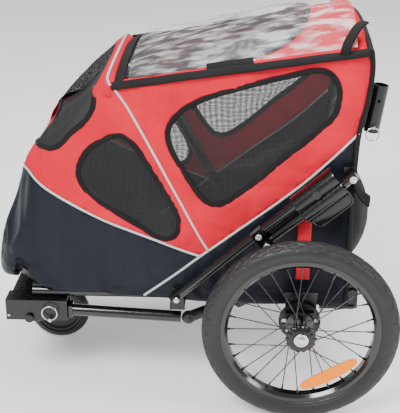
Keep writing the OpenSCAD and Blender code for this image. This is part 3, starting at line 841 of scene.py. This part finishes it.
roof_outline = straight_line([(0, -ROOF_HALF), (ROOF_LONG, -ROOF_HALF), (ROOF_LONG, ROOF_HALF), (0, ROOF_HALF),
                              (0, -ROOF_HALF)], 0.009)[:-1]
roof_net_line = smooth_line([(0.02, -0.165), (0.10, -0.172), (0.25, -0.172), (0.32, -0.155), (0.368, -0.105),
                             (0.385, 0), (0.368, 0.105), (0.32, 0.155), (0.25, 0.172), (0.10, 0.172), (0.02, 0.165),
                             (0.012, 0.12), (0.012, 0), (0.012, -0.12)], 0.007, closed=True)
for name, outline, holes, material, slot, thick in (
    ("roof_panel", roof_outline, [roof_net_line], red_cloth, "red_fabric", 0.0014),
    ("roof_net", roof_net_line, [], roof_net, "mesh_fabric", 0),
):
    cut_points, cut_faces, cut_held = sewn_sheet(outline, [], holes, 0.012)
    sheet = add_mesh(name, [roof_place(p.x, p.y) for p in cut_points], cut_faces)
    layer = sheet.data.uv_layers.new(name="UVMap")
    for loop in sheet.data.loops:
        layer.data[loop.index].uv = cut_points[loop.vertex_index]
    slacken(sheet, sorted(cut_held), 0.008, 10)
    smooth_faces(sheet)
    if sheet.data.polygons[0].normal.z < 0:
        sheet.data.flip_normals()
    cut_cloth(sheet, "stretched", "rear_hoop")
    if thick:
        thicken(sheet, thick)
    folding(finish_piece(sheet, material), slot, *(["cabin_roof"] if thick else []))
UP = Vector((0, 0, 1))
ring = [roof_place(p.x, p.y, 0.0004) for p in smooth_line(roof_net_line[::4], 0.0025, closed=True)]
trim("roof_net_binding", ring, [UP] * len(ring), tape_profile(0.010, 0.0018), black_tape, True)
for turn, side in ((-1, "left"), (1, "right")):
    edge = [roof_place(0.0025 * k, turn * (ROOF_HALF + 0.001), 0.0012) + Vector((0, turn * 0.002, 0))
            for k in range(199)]
    folding(finish_piece(swept("roof_edge_binding_" + side, edge, [Vector((0, turn, 1.2))] * len(edge),
                               tape_profile(0.018, 0.003)), black_tape), "mesh_fabric")
for name, x, wide in (("roof_front_binding", 0.010, 0.026), ("roof_rear_binding", ROOF_LONG, 0.013)):
    edge = [roof_place(x, 0.004 * k - ROOF_HALF, 0.001) for k in range(98)]
    folding(finish_piece(swept(name, edge, [Vector((-0.5 if x < 0.1 else 0.5, 0, 1))] * len(edge),
                               tape_profile(wide, 0.0026)), black_tape), "mesh_fabric")

# Hood band: the strip of red polyester that closes the cabin over the front hoop, from the nose to the roof.
# Its front hem is sewn over the nose and the side panels, and its back edge is gathered under the roof's binding.
HOOD_ROWS, HOOD_ACROSS = 12, 130
CORNER_STEPS = 8
HEM_DEPTH, HEM_STEP = 0.026, 0.009
HOOD_WIDE, HOOD_LONG = 0.43, 0.056


def hood_edge(number, drop):
    """A point of the band's front edge, counted across from the left, drop metres down from the top seam."""
    side = number - CORNER_STEPS if number < CORNER_STEPS else max(number - HOOD_ACROSS + CORNER_STEPS, 0)
    if side:
        back = min(abs(side) / CORNER_STEPS, 1)
        place = on_side(-0.184 + 0.014 * back, 0.684 - 0.005 * back - drop, 0.0024)[0]
        return place if side < 0 else Vector((place.x, -place.y, place.z))
    last = len(nose_line) - 1
    row = min(range(last + 1), key=lambda k: abs(nose_run[last] - nose_run[k] - drop))
    v = 2 * (number - CORNER_STEPS) / (HOOD_ACROSS - 2 * CORNER_STEPS) - 1
    return nose_point(row, v) + Vector((-0.6, 0, 1)) * 0.002


def hood_place(row, number):
    along = row / HOOD_ROWS
    across = 2 * number / HOOD_ACROSS - 1
    back = roof_place(0.004, across * ROOF_HALF, 0.0012)
    wander = 2.5 * noise.noise(Vector((across * 9, 0, 2)))
    pleat = math.sin(150 * across + wander) * 0.0013 * max(along - 0.5, 0) * 2
    puff = 0.007 * math.sin(math.pi * along) * (1 - abs(across) ** 5)
    return hood_edge(number, 0).lerp(back, along) + Vector((-0.25, 0, 1)) * (puff + pleat)


COLUMNS = HOOD_ACROSS + 1
band_rows = [[hood_edge(j, HEM_DEPTH - HEM_STEP * k) for j in range(COLUMNS)] for k in range(3)]
band_rows += [[hood_place(k, j) for j in range(COLUMNS)] for k in range(HOOD_ROWS + 1)]
hood_band = add_mesh("hood_band", [p for band_row in band_rows for p in band_row],
                     [(a, a + 1, a + COLUMNS + 1, a + COLUMNS)
                      for k in range(len(band_rows) - 1) for a in range(k * COLUMNS, (k + 1) * COLUMNS - 1)])
layer = hood_band.data.uv_layers.new(name="UVMap")
for loop in hood_band.data.loops:
    k, j = divmod(loop.vertex_index, COLUMNS)
    layer.data[loop.index].uv = (j * HOOD_WIDE / HOOD_ACROSS, k * HOOD_LONG / (len(band_rows) - 1))
smooth_faces(hood_band)
if hood_band.data.polygons[len(hood_band.data.polygons) // 2].normal.z < 0:
    hood_band.data.flip_normals()
cut_cloth(hood_band, "stretched", "front_hoop")
thicken(hood_band, 0.0012)
folding(finish_piece(hood_band, red_cloth), "red_fabric")
hood_path = [hood_place(5, j) + Vector((-0.0004, 0, 0.0016)) for j in range(COLUMNS)]
trim("hood_piping", hood_path, [Vector((-0.4, 0, 1))] * len(hood_path), round_profile(0.0026), grey_piping)


# Rain cover: one sheet of clear vinyl that lies over the roof net. It is stiff, and keeps long sharp creases
# from being folded, so it catches the light in streaks. Its white opacity also varies in long streaks: partly a milky
# film, partly painted highlight streaks.
cover_film, cover_shader, tree = new_material("clear_vinyl", (0.86, 0.87, 0.88), 0.12)
cover_uv = tree.nodes.new("ShaderNodeTexCoord").outputs["UV"]
stretch = tree.nodes.new("ShaderNodeMapping")
stretch.inputs["Scale"].default_value = (1.0, 3.2, 1.0)
stretch.inputs["Rotation"].default_value = (0, 0, 0.35)
tree.links.new(cover_uv, stretch.inputs["Vector"])
# Long streaks of white opacity come from noise, not from the lamps. They are partly a milky film and partly painted
# highlight streaks.
milk_and_highlight_streaks = texture_node(tree, "ShaderNodeTexNoise", stretch.outputs[0], scale=16.0, detail=8.0)
streak_opacity = tree.nodes.new("ShaderNodeMapRange")
tree.links.new(milk_and_highlight_streaks.outputs["Fac"], streak_opacity.inputs["Value"])
for label, value in (("From Min", 0.44), ("From Max", 0.62), ("To Min", 0.06), ("To Max", 0.46)):
    streak_opacity.inputs[label].default_value = value
tree.links.new(streak_opacity.outputs[0], cover_shader.inputs["Alpha"])
bump(tree, cover_shader, milk_and_highlight_streaks.outputs["Fac"], 0.4, 0.004)
cover_shader.inputs["Coat Weight"].default_value = 1.0
cover_shader.inputs["Coat Roughness"].default_value = 0.06

COVER_LONG, COVER_WIDE = 0.44, 0.37
NX, NY = ((150, 110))


def crease(x, y, seed):
    """Sharp ridges in long folds that run back and a little across."""
    along, across = x + 0.35 * y, y - 0.22 * x
    fold = noise.noise(Vector((along / 0.11, across / 0.022, seed)))
    small = noise.noise(Vector((along / 0.035, across / 0.011, seed + 5)))
    return (1 - abs(fold) * 2.4) * 0.0042 + (1 - abs(small) * 2.2) * 0.0014


cover_points, cover_faces = [], []
for i in range(NX + 1):
    for j in range(NY + 1):
        x = 0.032 + COVER_LONG * i / NX
        y = COVER_WIDE * (j / NY - 0.5)
        to_edge = min(i, NX - i, j * 0.8, (NY - j) * 0.8) / NX * 9
        loose = min(to_edge, 1)
        cover_points.append(roof_place(x, y, 0.0045 + 0.003 * loose + crease(x, y, 2.3) * (0.25 + 0.75 * loose)))
for i in range(NX):
    for j in range(NY):
        a = i * (NY + 1) + j
        cover_faces.append((a, a + NY + 1, a + NY + 2, a + 1))
cover = finish_piece(add_mesh("rain_cover_film", cover_points, cover_faces), cover_film)
layer = cover.data.uv_layers.new(name="UVMap")
for loop in cover.data.loops:
    i, j = divmod(loop.vertex_index, NY + 1)
    layer.data[loop.index].uv = (COVER_LONG * i / NX, COVER_WIDE * j / NY * 1.09)
smooth_faces(cover)
folding(cover, "clear_sheet", "rain_cover")

# Fastenings at the roof's sides: a black touch-fastener tab that holds the cover down on each side,
# and a loop of black webbing sewn at each rear corner.
for turn, side in ((-1, "left"), (1, "right")):
    tab = [roof_place(0.185 + 0.003 * k, turn * 0.182, 0.0035) for k in range(31)]
    facing = [Vector((0, turn * 0.55, 1))] * len(tab)
    trim("fastener_tab_" + side, tab, facing, tape_profile(0.02, 0.003), black_tape)
    bend = smooth_line([(0.448, 0.1955, 0.733), (0.449, 0.197, 0.748), (0.453, 0.190, 0.760), (0.462, 0.176, 0.774),
                        (0.474, 0.158, 0.786), (0.488, 0.138, 0.791)], 0.004)
    loop_places = [Vector((ROOF_FRONT.x + p.x, turn * p.y, p.z + 0.003)) for p in bend]
    loop_facings = [Vector((-0.15, turn * (0.9 - 0.6 * k / len(bend)), 0.3 + 0.8 * k / len(bend)))
                    for k in range(len(bend))]
    trim("corner_webbing_" + side, loop_places, loop_facings, tape_profile(0.019, 0.0024), black_tape)


# Rear panel: the back of the cabin, navy polyester below, black netting in the middle and red cloth at the top.
# Black tape covers both rear edges and the two cross seams.
rear_navy_top = 0.47
rear_line = straight_line([(p.y, p.x) for p in back_line], 0.012)


def rear_place(z, y, lift=0.0):
    for start, end in zip(rear_line, rear_line[1:]):
        if end.x <= z <= start.x:
            x = start.y + (end.y - start.y) * (z - start.x) / (end.x - start.x or 1)
            break
    else:
        x = rear_line[0].y if z > rear_line[0].x else rear_line[-1].y
    half = SIDE_Y - (z - LEAN_FROM_Z) * LEAN
    v = y / half
    rise = 0.0129 * (1 - abs(v) ** 2.4) * max(0, (z - 0.66) / 0.09)
    ripple = 0.0015 * noise.noise(Vector((y / 0.09, z / 0.12, 8.0)))
    return Vector((x + 0.004 * (1 - v * v) + lift + ripple, y, z + rise))


for name, low, high, material, slot, nodes in (
    ("rear_lower", 0.218, rear_navy_top, navy_cloth, "navy_fabric", ("cabin_rear",)),
    ("rear_net", rear_navy_top, 0.700, window_net, "mesh_fabric", ()),
    ("rear_upper", 0.700, 0.749, red_cloth, "red_fabric", ()),
):
    steps = max(3, round((high - low) / 0.012))
    points, faces = [], []
    for i in range(steps + 1):
        z = low + (high - low) * i / steps
        half = SIDE_Y - (z - LEAN_FROM_Z) * LEAN
        points += [rear_place(z, half * (2 * j / 36 - 1)) for j in range(37)]
    for i in range(steps):
        for j in range(36):
            a = i * 37 + j
            faces.append((a, a + 1, a + 38, a + 37))
    panel = finish_piece(add_mesh(name, points, faces), material)
    layer = panel.data.uv_layers.new(name="UVMap")
    for loop in panel.data.loops:
        co = panel.data.vertices[loop.vertex_index].co
        layer.data[loop.index].uv = (co.y, co.z)
    smooth_faces(panel)
    cut_cloth(panel, "stretched", "rear_hoop")
    if material is not window_net:
        thicken(panel, 0.0014)
    folding(panel, slot, *nodes)
for turn, side in ((-1, "left"), (1, "right")):
    edge = [Vector((p.x + 0.001, turn * (SIDE_Y - (p.y - LEAN_FROM_Z) * LEAN), p.y)) for p in back_line]
    folding(finish_piece(swept("rear_edge_binding_" + side, edge, [Vector((0.8, turn, 0))] * len(edge),
                               tape_profile(0.013, 0.0022)), black_tape), "mesh_fabric")
for name, z in (("rear_seam_low", rear_navy_top), ("rear_seam_high", 0.700)):
    half = SIDE_Y - (z - LEAN_FROM_Z) * LEAN
    edge = [rear_place(z, half * (2 * j / 70 - 1), 0.0006) for j in range(71)]
    trim(name, edge, [Vector((1, 0, 0))] * len(edge), tape_profile(0.014, 0.0022), black_tape)

# Side straps: a length of red webbing sewn low down on each side, behind the main wheel.
# A folded black keeper flap stands at each rear corner.
for turn, side in ((-1, "left"), (1, "right")):
    places = [Vector((0.217, turn * (SIDE_Y + 0.0075 - (z - LEAN_FROM_Z) * LEAN * 0.6), z))
              for z in [0.277 + 0.0045 * k for k in range(31)]]
    strap = swept("side_strap_" + side, places, [Vector((0, turn, 0.02))] * len(places),
                  tape_profile(0.028, 0.0018))
    folding(finish_piece(strap, red_webbing), "red_fabric", *(["side_straps"] if turn < 0 else []))
    bend = smooth_line([(0.312, 0.208, 0.500), (0.318, 0.206, 0.480), (0.330, 0.203, 0.458),
                        (0.345, 0.199, 0.444)], 0.004)
    flap = swept("keeper_flap_" + side, [Vector((p.x, turn * p.y, p.z)) for p in bend],
                 [Vector((0.7, turn * 0.4, 0.55))] * len(bend), tape_profile(0.030, 0.003))
    folding(finish_piece(flap, black_tape), "mesh_fabric")


# Hard finishes: painted steel tube and brackets, moulded nylon, zinc, rubber, enamel and amber plastic.
# Each has fine dust, scuffs and grain from one group, placed by Object coordinates.
marks_group, given, result = new_group(
    "handling_marks",
    [("Vector", "NodeSocketVector", (0, 0, 0)), ("Grain", "NodeSocketFloat", 900.0)],
    [("Patch", "NodeSocketFloat"), ("Scuff", "NodeSocketFloat"), ("Grain", "NodeSocketFloat")],
)
patches = texture_node(marks_group, "ShaderNodeTexNoise", given.outputs["Vector"], scale=22.0, detail=6.0)
scuffs = texture_node(marks_group, "ShaderNodeTexNoise", given.outputs["Vector"], scale=160.0, detail=8.0)
grains = texture_node(marks_group, "ShaderNodeTexNoise", given.outputs["Vector"],
                      scale=given.outputs["Grain"], detail=2.0)
marks_group.links.new(patches.outputs["Fac"], result.inputs["Patch"])
marks_group.links.new(scuffs.outputs["Fac"], result.inputs["Scuff"])
marks_group.links.new(grains.outputs["Fac"], result.inputs["Grain"])


def hard_material(name, dark, light, smooth, dull, metal, grain, depth, coat=0.0):
    material, shader, tree = new_material(name, light, dull, metal)
    marks = tree.nodes.new("ShaderNodeGroup")
    marks.node_tree = marks_group
    marks.inputs["Grain"].default_value = grain
    tree.links.new(tree.nodes.new("ShaderNodeTexCoord").outputs["Object"], marks.inputs["Vector"])
    tree.links.new(mixed_colour(tree, math_node(tree, "ADD", multiplied(tree, marks.outputs["Patch"], 0.6),
                                                multiplied(tree, marks.outputs["Scuff"], 0.4)), dark, light),
                   shader.inputs["Base Color"])
    spread = tree.nodes.new("ShaderNodeMapRange")
    tree.links.new(marks.outputs["Scuff"], spread.inputs["Value"])
    for label, value in (("From Min", 0.35), ("From Max", 0.7), ("To Min", smooth), ("To Max", dull)):
        spread.inputs[label].default_value = value
    tree.links.new(spread.outputs[0], shader.inputs["Roughness"])
    bump(tree, shader, marks.outputs["Grain"], depth, 0.0004)
    shader.inputs["Coat Weight"].default_value = coat
    shader.inputs["Coat Roughness"].default_value = 0.12
    return material


def grey(level):
    return level, level, level


tube_paint = hard_material("black_tube_paint", grey(0.0015), grey(0.005), 0.1, 0.24, 0.0, 500, 0.02, 0.4)
bracket_paint = hard_material("black_bracket_paint", grey(0.002), grey(0.007), 0.2, 0.4, 0.0, 500, 0.08)
black_nylon = hard_material("black_nylon", grey(0.002), (0.007, 0.007, 0.0075), 0.16, 0.32, 0.0, 1200, 0.06)
bright_zinc = hard_material("bright_zinc", (0.45, 0.46, 0.47), (0.72, 0.73, 0.75), 0.16, 0.4, 1.0, 600, 0.15)
hitch_steel = hard_material("hitch_steel", (0.02, 0.02, 0.021), grey(0.06), 0.3, 0.55, 0.6, 500, 0.3)
tyre_rubber = hard_material("tyre_rubber", grey(0.006), (0.014, 0.014, 0.0145), 0.42, 0.62, 0.0, 1500, 0.15)
rim_enamel = hard_material("rim_enamel", grey(0.0015), grey(0.004), 0.1, 0.22, 0.0, 400, 0.02, 0.5)
spoke_steel = hard_material("spoke_steel", grey(0.03), grey(0.09), 0.22, 0.4, 0.9, 900, 0.1)
caster_nylon = hard_material("caster_nylon", grey(0.014), (0.032, 0.032, 0.033), 0.35, 0.55, 0.0, 900, 0.25)
amber_lens_painted_glow = hard_material("amber_lens_painted_glow", (0.95, 0.2, 0.0), (1.0, 0.34, 0.0), 0.3, 0.45, 0.0, 420, 0.4, 0.0)
# The lens also gets a faint orange emission. This is a painted glow, since a reflector is no lamp.
amber_lens_painted_glow.node_tree.nodes["Principled BSDF"].inputs["Emission Color"].default_value = (1.0, 0.2, 0.0, 1)
amber_lens_painted_glow.node_tree.nodes["Principled BSDF"].inputs["Emission Strength"].default_value = 0.22
amber_lens_painted_glow.node_tree.nodes["Principled BSDF"].inputs["Specular IOR Level"].default_value = 0.2
floor_mat = hard_material("floor_mat", (0.012, 0.012, 0.014), (0.03, 0.03, 0.034), 0.7, 0.9, 0.0, 500, 0.6)
finish_of_slot = {
    "black_tube": tube_paint, "black_bracket": bracket_paint, "black_plastic": black_nylon,
    "caster_core": caster_nylon,
    "zinc": bright_zinc, "hitch_steel": hitch_steel, "tyre_rubber": tyre_rubber, "rim_black": rim_enamel,
    "spoke_steel": spoke_steel, "reflector_amber": amber_lens_painted_glow, "floor_board": floor_mat,
}
for entry in frame["record"]["subparts"]:
    if entry["material_slot"] in finish_of_slot:
        finish_piece(node[entry["node"]], finish_of_slot[entry["material_slot"]])


# Tyres: moulded black rubber, fitted over the rim. They have fine rings on the side wall and rows of scales
# cut round each shoulder.
HUB_PLACE = Vector((0.212, 0.0, 0.2))
WHEEL_Y = 0.300
TYRE_MIDDLE, TYRE_SECTION = 0.178, 0.022
SCALES = 34
ROUND_STEPS = 680
SECTIONS = [-139, -132, *range(-126, -84, 3), *(k * 2.4 for k in range(-34, 35)), *range(87, 127, 3), 132, 139]


def tread_cut(turn, section):
    """Depth of the grooves: turn is 0 to 1 round the wheel, section is degrees from the crown outward."""
    tilt = abs(section)
    depth = 0.0
    for row, (inner, tall) in enumerate(((62, 26), (38, 22), (16, 18))):
        step = (turn * SCALES + 0.5 * row) % 1
        arc = inner - tall * math.sqrt(max(0, 1 - (2 * step - 1) ** 2))
        slope = abs(2 * step - 1)
        depth = max(depth, 1 - abs(tilt - arc - 4) / (3.6 + 7 * slope ** 6))
    ring = 1 if tilt in (96, 99, 111, 120, 123) else 0
    return 0.0019 * max(depth, 0) ** 0.6 + 0.0005 * ring


tyre_points, tyre_faces = [], []
for i in range(ROUND_STEPS):
    angle = 2 * math.pi * i / ROUND_STEPS
    for section in SECTIONS:
        reach = TYRE_SECTION - tread_cut(i / ROUND_STEPS, section)
        radius = TYRE_MIDDLE + reach * math.cos(math.radians(section))
        tyre_points.append((radius * math.cos(angle), reach * math.sin(math.radians(section)),
                            radius * math.sin(angle)))
row = len(SECTIONS)
for i in range(ROUND_STEPS):
    for j in range(row - 1):
        a, b = i * row + j, ((i + 1) % ROUND_STEPS) * row + j
        tyre_faces.append((a, a + 1, b + 1, b))


def tidy_normals(piece):
    clean = bmesh.new()
    clean.from_mesh(piece.data)
    bmesh.ops.remove_doubles(clean, verts=clean.verts, dist=0.00002)
    bmesh.ops.recalc_face_normals(clean, faces=clean.faces)
    clean.to_mesh(piece.data)
    clean.free()
    smooth_faces(piece)
    return piece


def placed(piece, name, where, turn=1):
    """Sets the piece's mesh at its place; turn -1 makes the right-hand one."""
    mesh = piece.data.copy()
    mesh.transform(Matrix.Translation(where))
    if turn < 0:
        mesh.transform(Matrix.Scale(-1, 4, (0, 1, 0)))
        mesh.flip_normals()
    copy = bpy.data.objects.new(name, mesh)
    bpy.context.collection.objects.link(copy)
    return copy


tyre_shape = tidy_normals(finish_piece(add_mesh("tyre_shape", tyre_points, tyre_faces), tyre_rubber))

# Small parts of the main wheels: steel spoke nipples at the rim, a scalloped nylon hub flange and a domed
# axle cap. They are made once at a wheel's centre, and then set on both wheels.
SPOKES = 28


def turned(name, profile, steps=32):
    """A shape turned round Y from (radius, y) pairs."""
    points, faces = [], []
    for r, y in profile:
        points += [(r * math.cos(2 * math.pi * k / steps), y, r * math.sin(2 * math.pi * k / steps))
                   for k in range(steps)]
    for i in range(len(profile) - 1):
        for k in range(steps):
            a, b = i * steps + k, i * steps + (k + 1) % steps
            faces.append((a, b, b + steps, a + steps))
    return tidy_normals(add_mesh(name, points, faces))


nipple_points, nipple_faces = [], []
for i in range(SPOKES):
    angle = 2 * math.pi * i / SPOKES
    row_side = 1 if i % 2 == 0 else -1
    lean = 32 if i % 4 < 2 else -32
    flange_y = 0.025 if lean > 0 else 0.029
    foot = Vector((0.025 * math.cos(angle - math.radians(lean)), row_side * flange_y,
                   0.025 * math.sin(angle - math.radians(lean))))
    head = Vector((0.1468 * math.cos(angle), row_side * 0.0025, 0.1468 * math.sin(angle)))
    way = (foot - head).normalized()
    side = way.cross(Vector((0, 1, 0))).normalized()
    other = way.cross(side)
    first = len(nipple_points)
    for along, radius in ((0, 0.0026), (0.004, 0.0026), (0.0052, 0.002), (0.0125, 0.0019), (0.0135, 0.0012)):
        nipple_points += [head + way * along
                          + (side * math.cos(math.pi * k / 3) + other * math.sin(math.pi * k / 3)) * radius
                          for k in range(6)]
    for ring_number in range(4):
        for k in range(6):
            a = first + ring_number * 6
            nipple_faces.append((a + k, a + (k + 1) % 6, a + 6 + (k + 1) % 6, a + 6 + k))
    nipple_faces += [tuple(first + k for k in range(6)), tuple(first + 24 + k for k in range(6))]
nipple_shape = tidy_normals(finish_piece(add_mesh("nipple_shape", nipple_points, nipple_faces), spoke_steel))

flange_points, flange_faces = [], []
for i in range(84):
    angle = 2 * math.pi * i / 84
    wave = 0.0302 + 0.0016 * math.cos(14 * angle)
    for r, y in ((0.014, -0.0375), (0.0195, -0.0372), (wave - 0.0012, -0.0325), (wave, -0.031), (wave, -0.0292),
                 (0.018, -0.0292)):
        flange_points.append((r * math.cos(angle), y, r * math.sin(angle)))
for i in range(84):
    for j in range(6):
        a, b = i * 6 + j, ((i + 1) % 84) * 6 + j
        c, d = ((i + 1) % 84) * 6 + (j + 1) % 6, i * 6 + (j + 1) % 6
        flange_faces.append((a, b, c, d))
flange_shape = tidy_normals(finish_piece(add_mesh("flange_shape", flange_points, flange_faces), black_nylon))
cap_profile = [(0.0001, -0.0422), (0.004, -0.0419), (0.0075, -0.0408), (0.0098, -0.0395), (0.0106, -0.0388),
               (0.0112, -0.0393), (0.0138, -0.0395), (0.0148, -0.0388), (0.015, -0.0378), (0.0142, -0.0372),
               (0.0001, -0.0372)]
cap_shape = finish_piece(turned("cap_shape", cap_profile, 48), bright_zinc)

# Reflector: an amber plastic lens shaped like a boat, clipped across the spokes of each wheel.
# It has moulded prisms and a raised middle boss.
lens_points, lens_faces = [], []
LENS_STEPS = 60
for i in range(LENS_STEPS + 1):
    t = 2 * i / LENS_STEPS - 1
    half = 0.0125 * (1 - abs(t) ** 3.5) ** 0.5
    for j in range(9):
        w = 2 * j / 8 - 1
        ridge = 0.0006 * (1 if (i + j) % 2 else -1) * (abs(w) < 0.95) * (abs(t) < 0.96)
        boss = 0.0012 if math.hypot(t * 0.066, w * half) < 0.0065 else 0
        lens_points.append((0.066 * t, -0.0175 - 0.001 * (1 - w * w) - ridge - boss, w * half + 0.004 * t * t))
for i in range(LENS_STEPS):
    for j in range(8):
        a = i * 9 + j
        lens_faces.append((a, a + 9, a + 10, a + 1))
lens_shape = add_mesh("lens_shape", lens_points, lens_faces)
thick_lens = lens_shape.modifiers.new("thickness", "SOLIDIFY")
thick_lens.thickness = 0.006
thick_lens.offset = -1
bake_stack(lens_shape)
tidy_normals(lens_shape)
for face in lens_shape.data.polygons:
    face.use_smooth = False
lens_shape.data.transform(Matrix.Translation((0.0615, 0, -0.0925)) @ Matrix.Rotation(math.radians(-31), 4, "Y"))
finish_piece(lens_shape, amber_lens_painted_glow)

for turn, side in ((1, "left"), (-1, "right")):
    centre = HUB_PLACE + Vector((0, -WHEEL_Y, 0))
    for shape, name, slot, nodes in (
        (tyre_shape, "tyre_rubber_", "tyre_rubber", ("tyre_",)), (nipple_shape, "nipples_", "spoke_steel", ()),
        (flange_shape, "hub_flange_", "black_plastic", ()),
        (lens_shape, "reflector_lens_", "reflector_amber", ("reflector_",)),
    ):
        piece = placed(shape, name + side, centre, turn)
        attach(piece, "wheel_" + side)
        if nodes:
            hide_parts(nodes[0] + side)
    cap = placed(cap_shape, "axle_cap_" + side, centre, turn)
    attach(cap, "chassis")
for shape in (tyre_shape, nipple_shape, flange_shape, lens_shape, cap_shape):
    bpy.data.objects.remove(shape)


# Cross-head bolts on the side braces: zinc pan heads with a pressed cross.
# One is at the brace's foot, two are at the clamp half way up, and one is at its top end.
BRACE_FOOT = Vector((-0.041, -0.240, 0.241))
BRACE_TILT = math.radians(41.5)
ALONG_BRACE = Vector((math.cos(BRACE_TILT), 0, math.sin(BRACE_TILT)))
SQUARE_TO_BRACE = Vector((-math.sin(BRACE_TILT), 0, math.cos(BRACE_TILT)))


def on_brace(along, square, out=0.0):
    return BRACE_FOOT + ALONG_BRACE * along + SQUARE_TO_BRACE * square + Vector((0, -out, 0))


def pan_head(radius):
    """A pan head facing -Y, with its cross recess."""
    points, faces = [Vector((0, -0.0016, 0))], []
    for i in range(1, 13):
        r = radius * i / 12
        for k in range(40):
            angle = 2 * math.pi * k / 40
            x, z = r * math.cos(angle), r * math.sin(angle)
            dome = 0.0034 * math.sqrt(max(0, 1 - (i / 12.6) ** 2.6))
            arm = min(abs(x), abs(z)) < radius * 0.13 and max(abs(x), abs(z)) < radius * 0.58
            points.append(Vector((x, -(dome - (0.0018 if arm else 0)), z)))
    first = len(points)
    points += [Vector((radius * math.cos(2 * math.pi * k / 40), 0.0015, radius * math.sin(2 * math.pi * k / 40)))
               for k in range(40)]
    for k in range(40):
        faces.append((0, 1 + k, 1 + (k + 1) % 40))
        for i in range(12):
            a = 1 + i * 40
            faces.append((a + k, a + 40 + k, a + 40 + (k + 1) % 40, a + (k + 1) % 40))
    faces.append(tuple(range(first, first + 40)))
    return tidy_normals(add_mesh("pan_head", points, faces))


head_shape = finish_piece(pan_head(0.0065), bright_zinc)
for turn, side in ((1, "left"), (-1, "right")):
    for name, spot, body in (
        ("clamp_bolt_upper_", on_brace(0.220, 0.0, 0.0175), "brace_lower_"),
        ("clamp_bolt_lower_", on_brace(0.220, -0.026, 0.0182), "brace_lower_"),
        ("foot_bolt_", on_brace(0.0, 0.0, 0.0175), "brace_lower_"),
        ("top_bolt_", on_brace(0.438, -0.026, 0.0135), "brace_upper_"),
    ):
        piece = placed(head_shape, name + side, spot, turn)
        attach(piece, body + side)
bpy.data.objects.remove(head_shape)


# Lock block: black nylon, moulded round the brace's tubes as two half-round sleeves.
# A flap with a raised rim hangs from its side.
def brace_shell(name, profile, start, end, thick, cut=None):
    """A moulding of one cross-section, in (square, out) pairs, drawn along the brace."""
    points, faces = [], []
    steps = 24
    for i in range(steps + 1):
        for k, (square, out) in enumerate(profile):
            low, high = cut(square) if cut else (start, end)
            points.append(on_brace(low + (high - low) * i / steps, square, out))
    across = len(profile)
    for i in range(steps):
        for k in range(across - 1):
            a = i * across + k
            faces.append((a, a + 1, a + across + 1, a + across))
    shell = add_mesh(name, points, faces)
    wall = shell.modifiers.new("wall", "SOLIDIFY")
    wall.thickness = thick
    wall.offset = 0
    bevel = shell.modifiers.new("edge", "BEVEL")
    bevel.width = 0.0006
    bevel.segments = 2
    bevel.limit_method = "ANGLE"
    bake_stack(shell)
    return tidy_normals(finish_piece(shell, black_nylon))


def half_round(middle, radius, lift, steps=14):
    return [(middle + radius * math.cos(math.pi * k / steps), lift + radius * math.sin(math.pi * k / steps))
            for k in range(steps + 1)]


sleeve_profile = ([(0.0145, -0.012), (0.0145, -0.002)] + half_round(-0.0025, 0.0168, 0.0012)[1:-1]
                  + [(-0.0152, 0.0085)]
                  + half_round(-0.028, 0.0145, 0.0035)[1:-1] + [(-0.0435, 0.006), (-0.047, 0.0055)])
flap_profile = [(-0.0425, 0.0075), (-0.046, 0.0085), (-0.052, 0.0085), (-0.058, 0.008), (-0.0625, 0.0072),
                (-0.0655, 0.006)]


def flap_span(square):
    inset = 0.0
    if square < -0.0515:
        inset = 0.014 - math.sqrt(max(0, 0.014 ** 2 - (square + 0.0515) ** 2))
    return 0.322 + inset, 0.412 - inset


for turn, side in ((1, "left"), (-1, "right")):
    sleeves = brace_shell("sleeves", sleeve_profile, 0.315, 0.415, 0.0024)
    flap = brace_shell("flap", flap_profile, 0, 0, 0.0022, flap_span)
    rim_path = [on_brace(0.3155, 0.012, 0.0095), on_brace(0.3155, -0.002, 0.0192), on_brace(0.316, -0.0148, 0.0105),
                on_brace(0.316, -0.028, 0.0185), on_brace(0.318, -0.042, 0.0095)]
    low_rim = [on_brace(0.3215, -0.0425, 0.0095), on_brace(0.3215, -0.052, 0.0098), on_brace(0.325, -0.061, 0.0092),
               on_brace(0.334, -0.0662, 0.0075), on_brace(0.367, -0.0668, 0.0072), on_brace(0.399, -0.0662, 0.0075),
               on_brace(0.409, -0.061, 0.0092), on_brace(0.4125, -0.052, 0.0098), on_brace(0.4125, -0.0425, 0.0095)]
    rims = [swept("rim", line, [Vector((0, -1, 0))] * len(line), round_profile(0.0017))
            for line in (smooth_line(rim_path, 0.003), smooth_line(low_rim, 0.003))]
    body = joined("lock_sleeves_" + side, [sleeves, flap] + [finish_piece(rim, black_nylon) for rim in rims])
    smooth_faces(body)
    if turn < 0:
        body.data.transform(Matrix.Scale(-1, 4, (0, 1, 0)))
        body.data.flip_normals()
    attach(body, "brace_upper_" + side)
    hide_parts("lock_block_" + side)
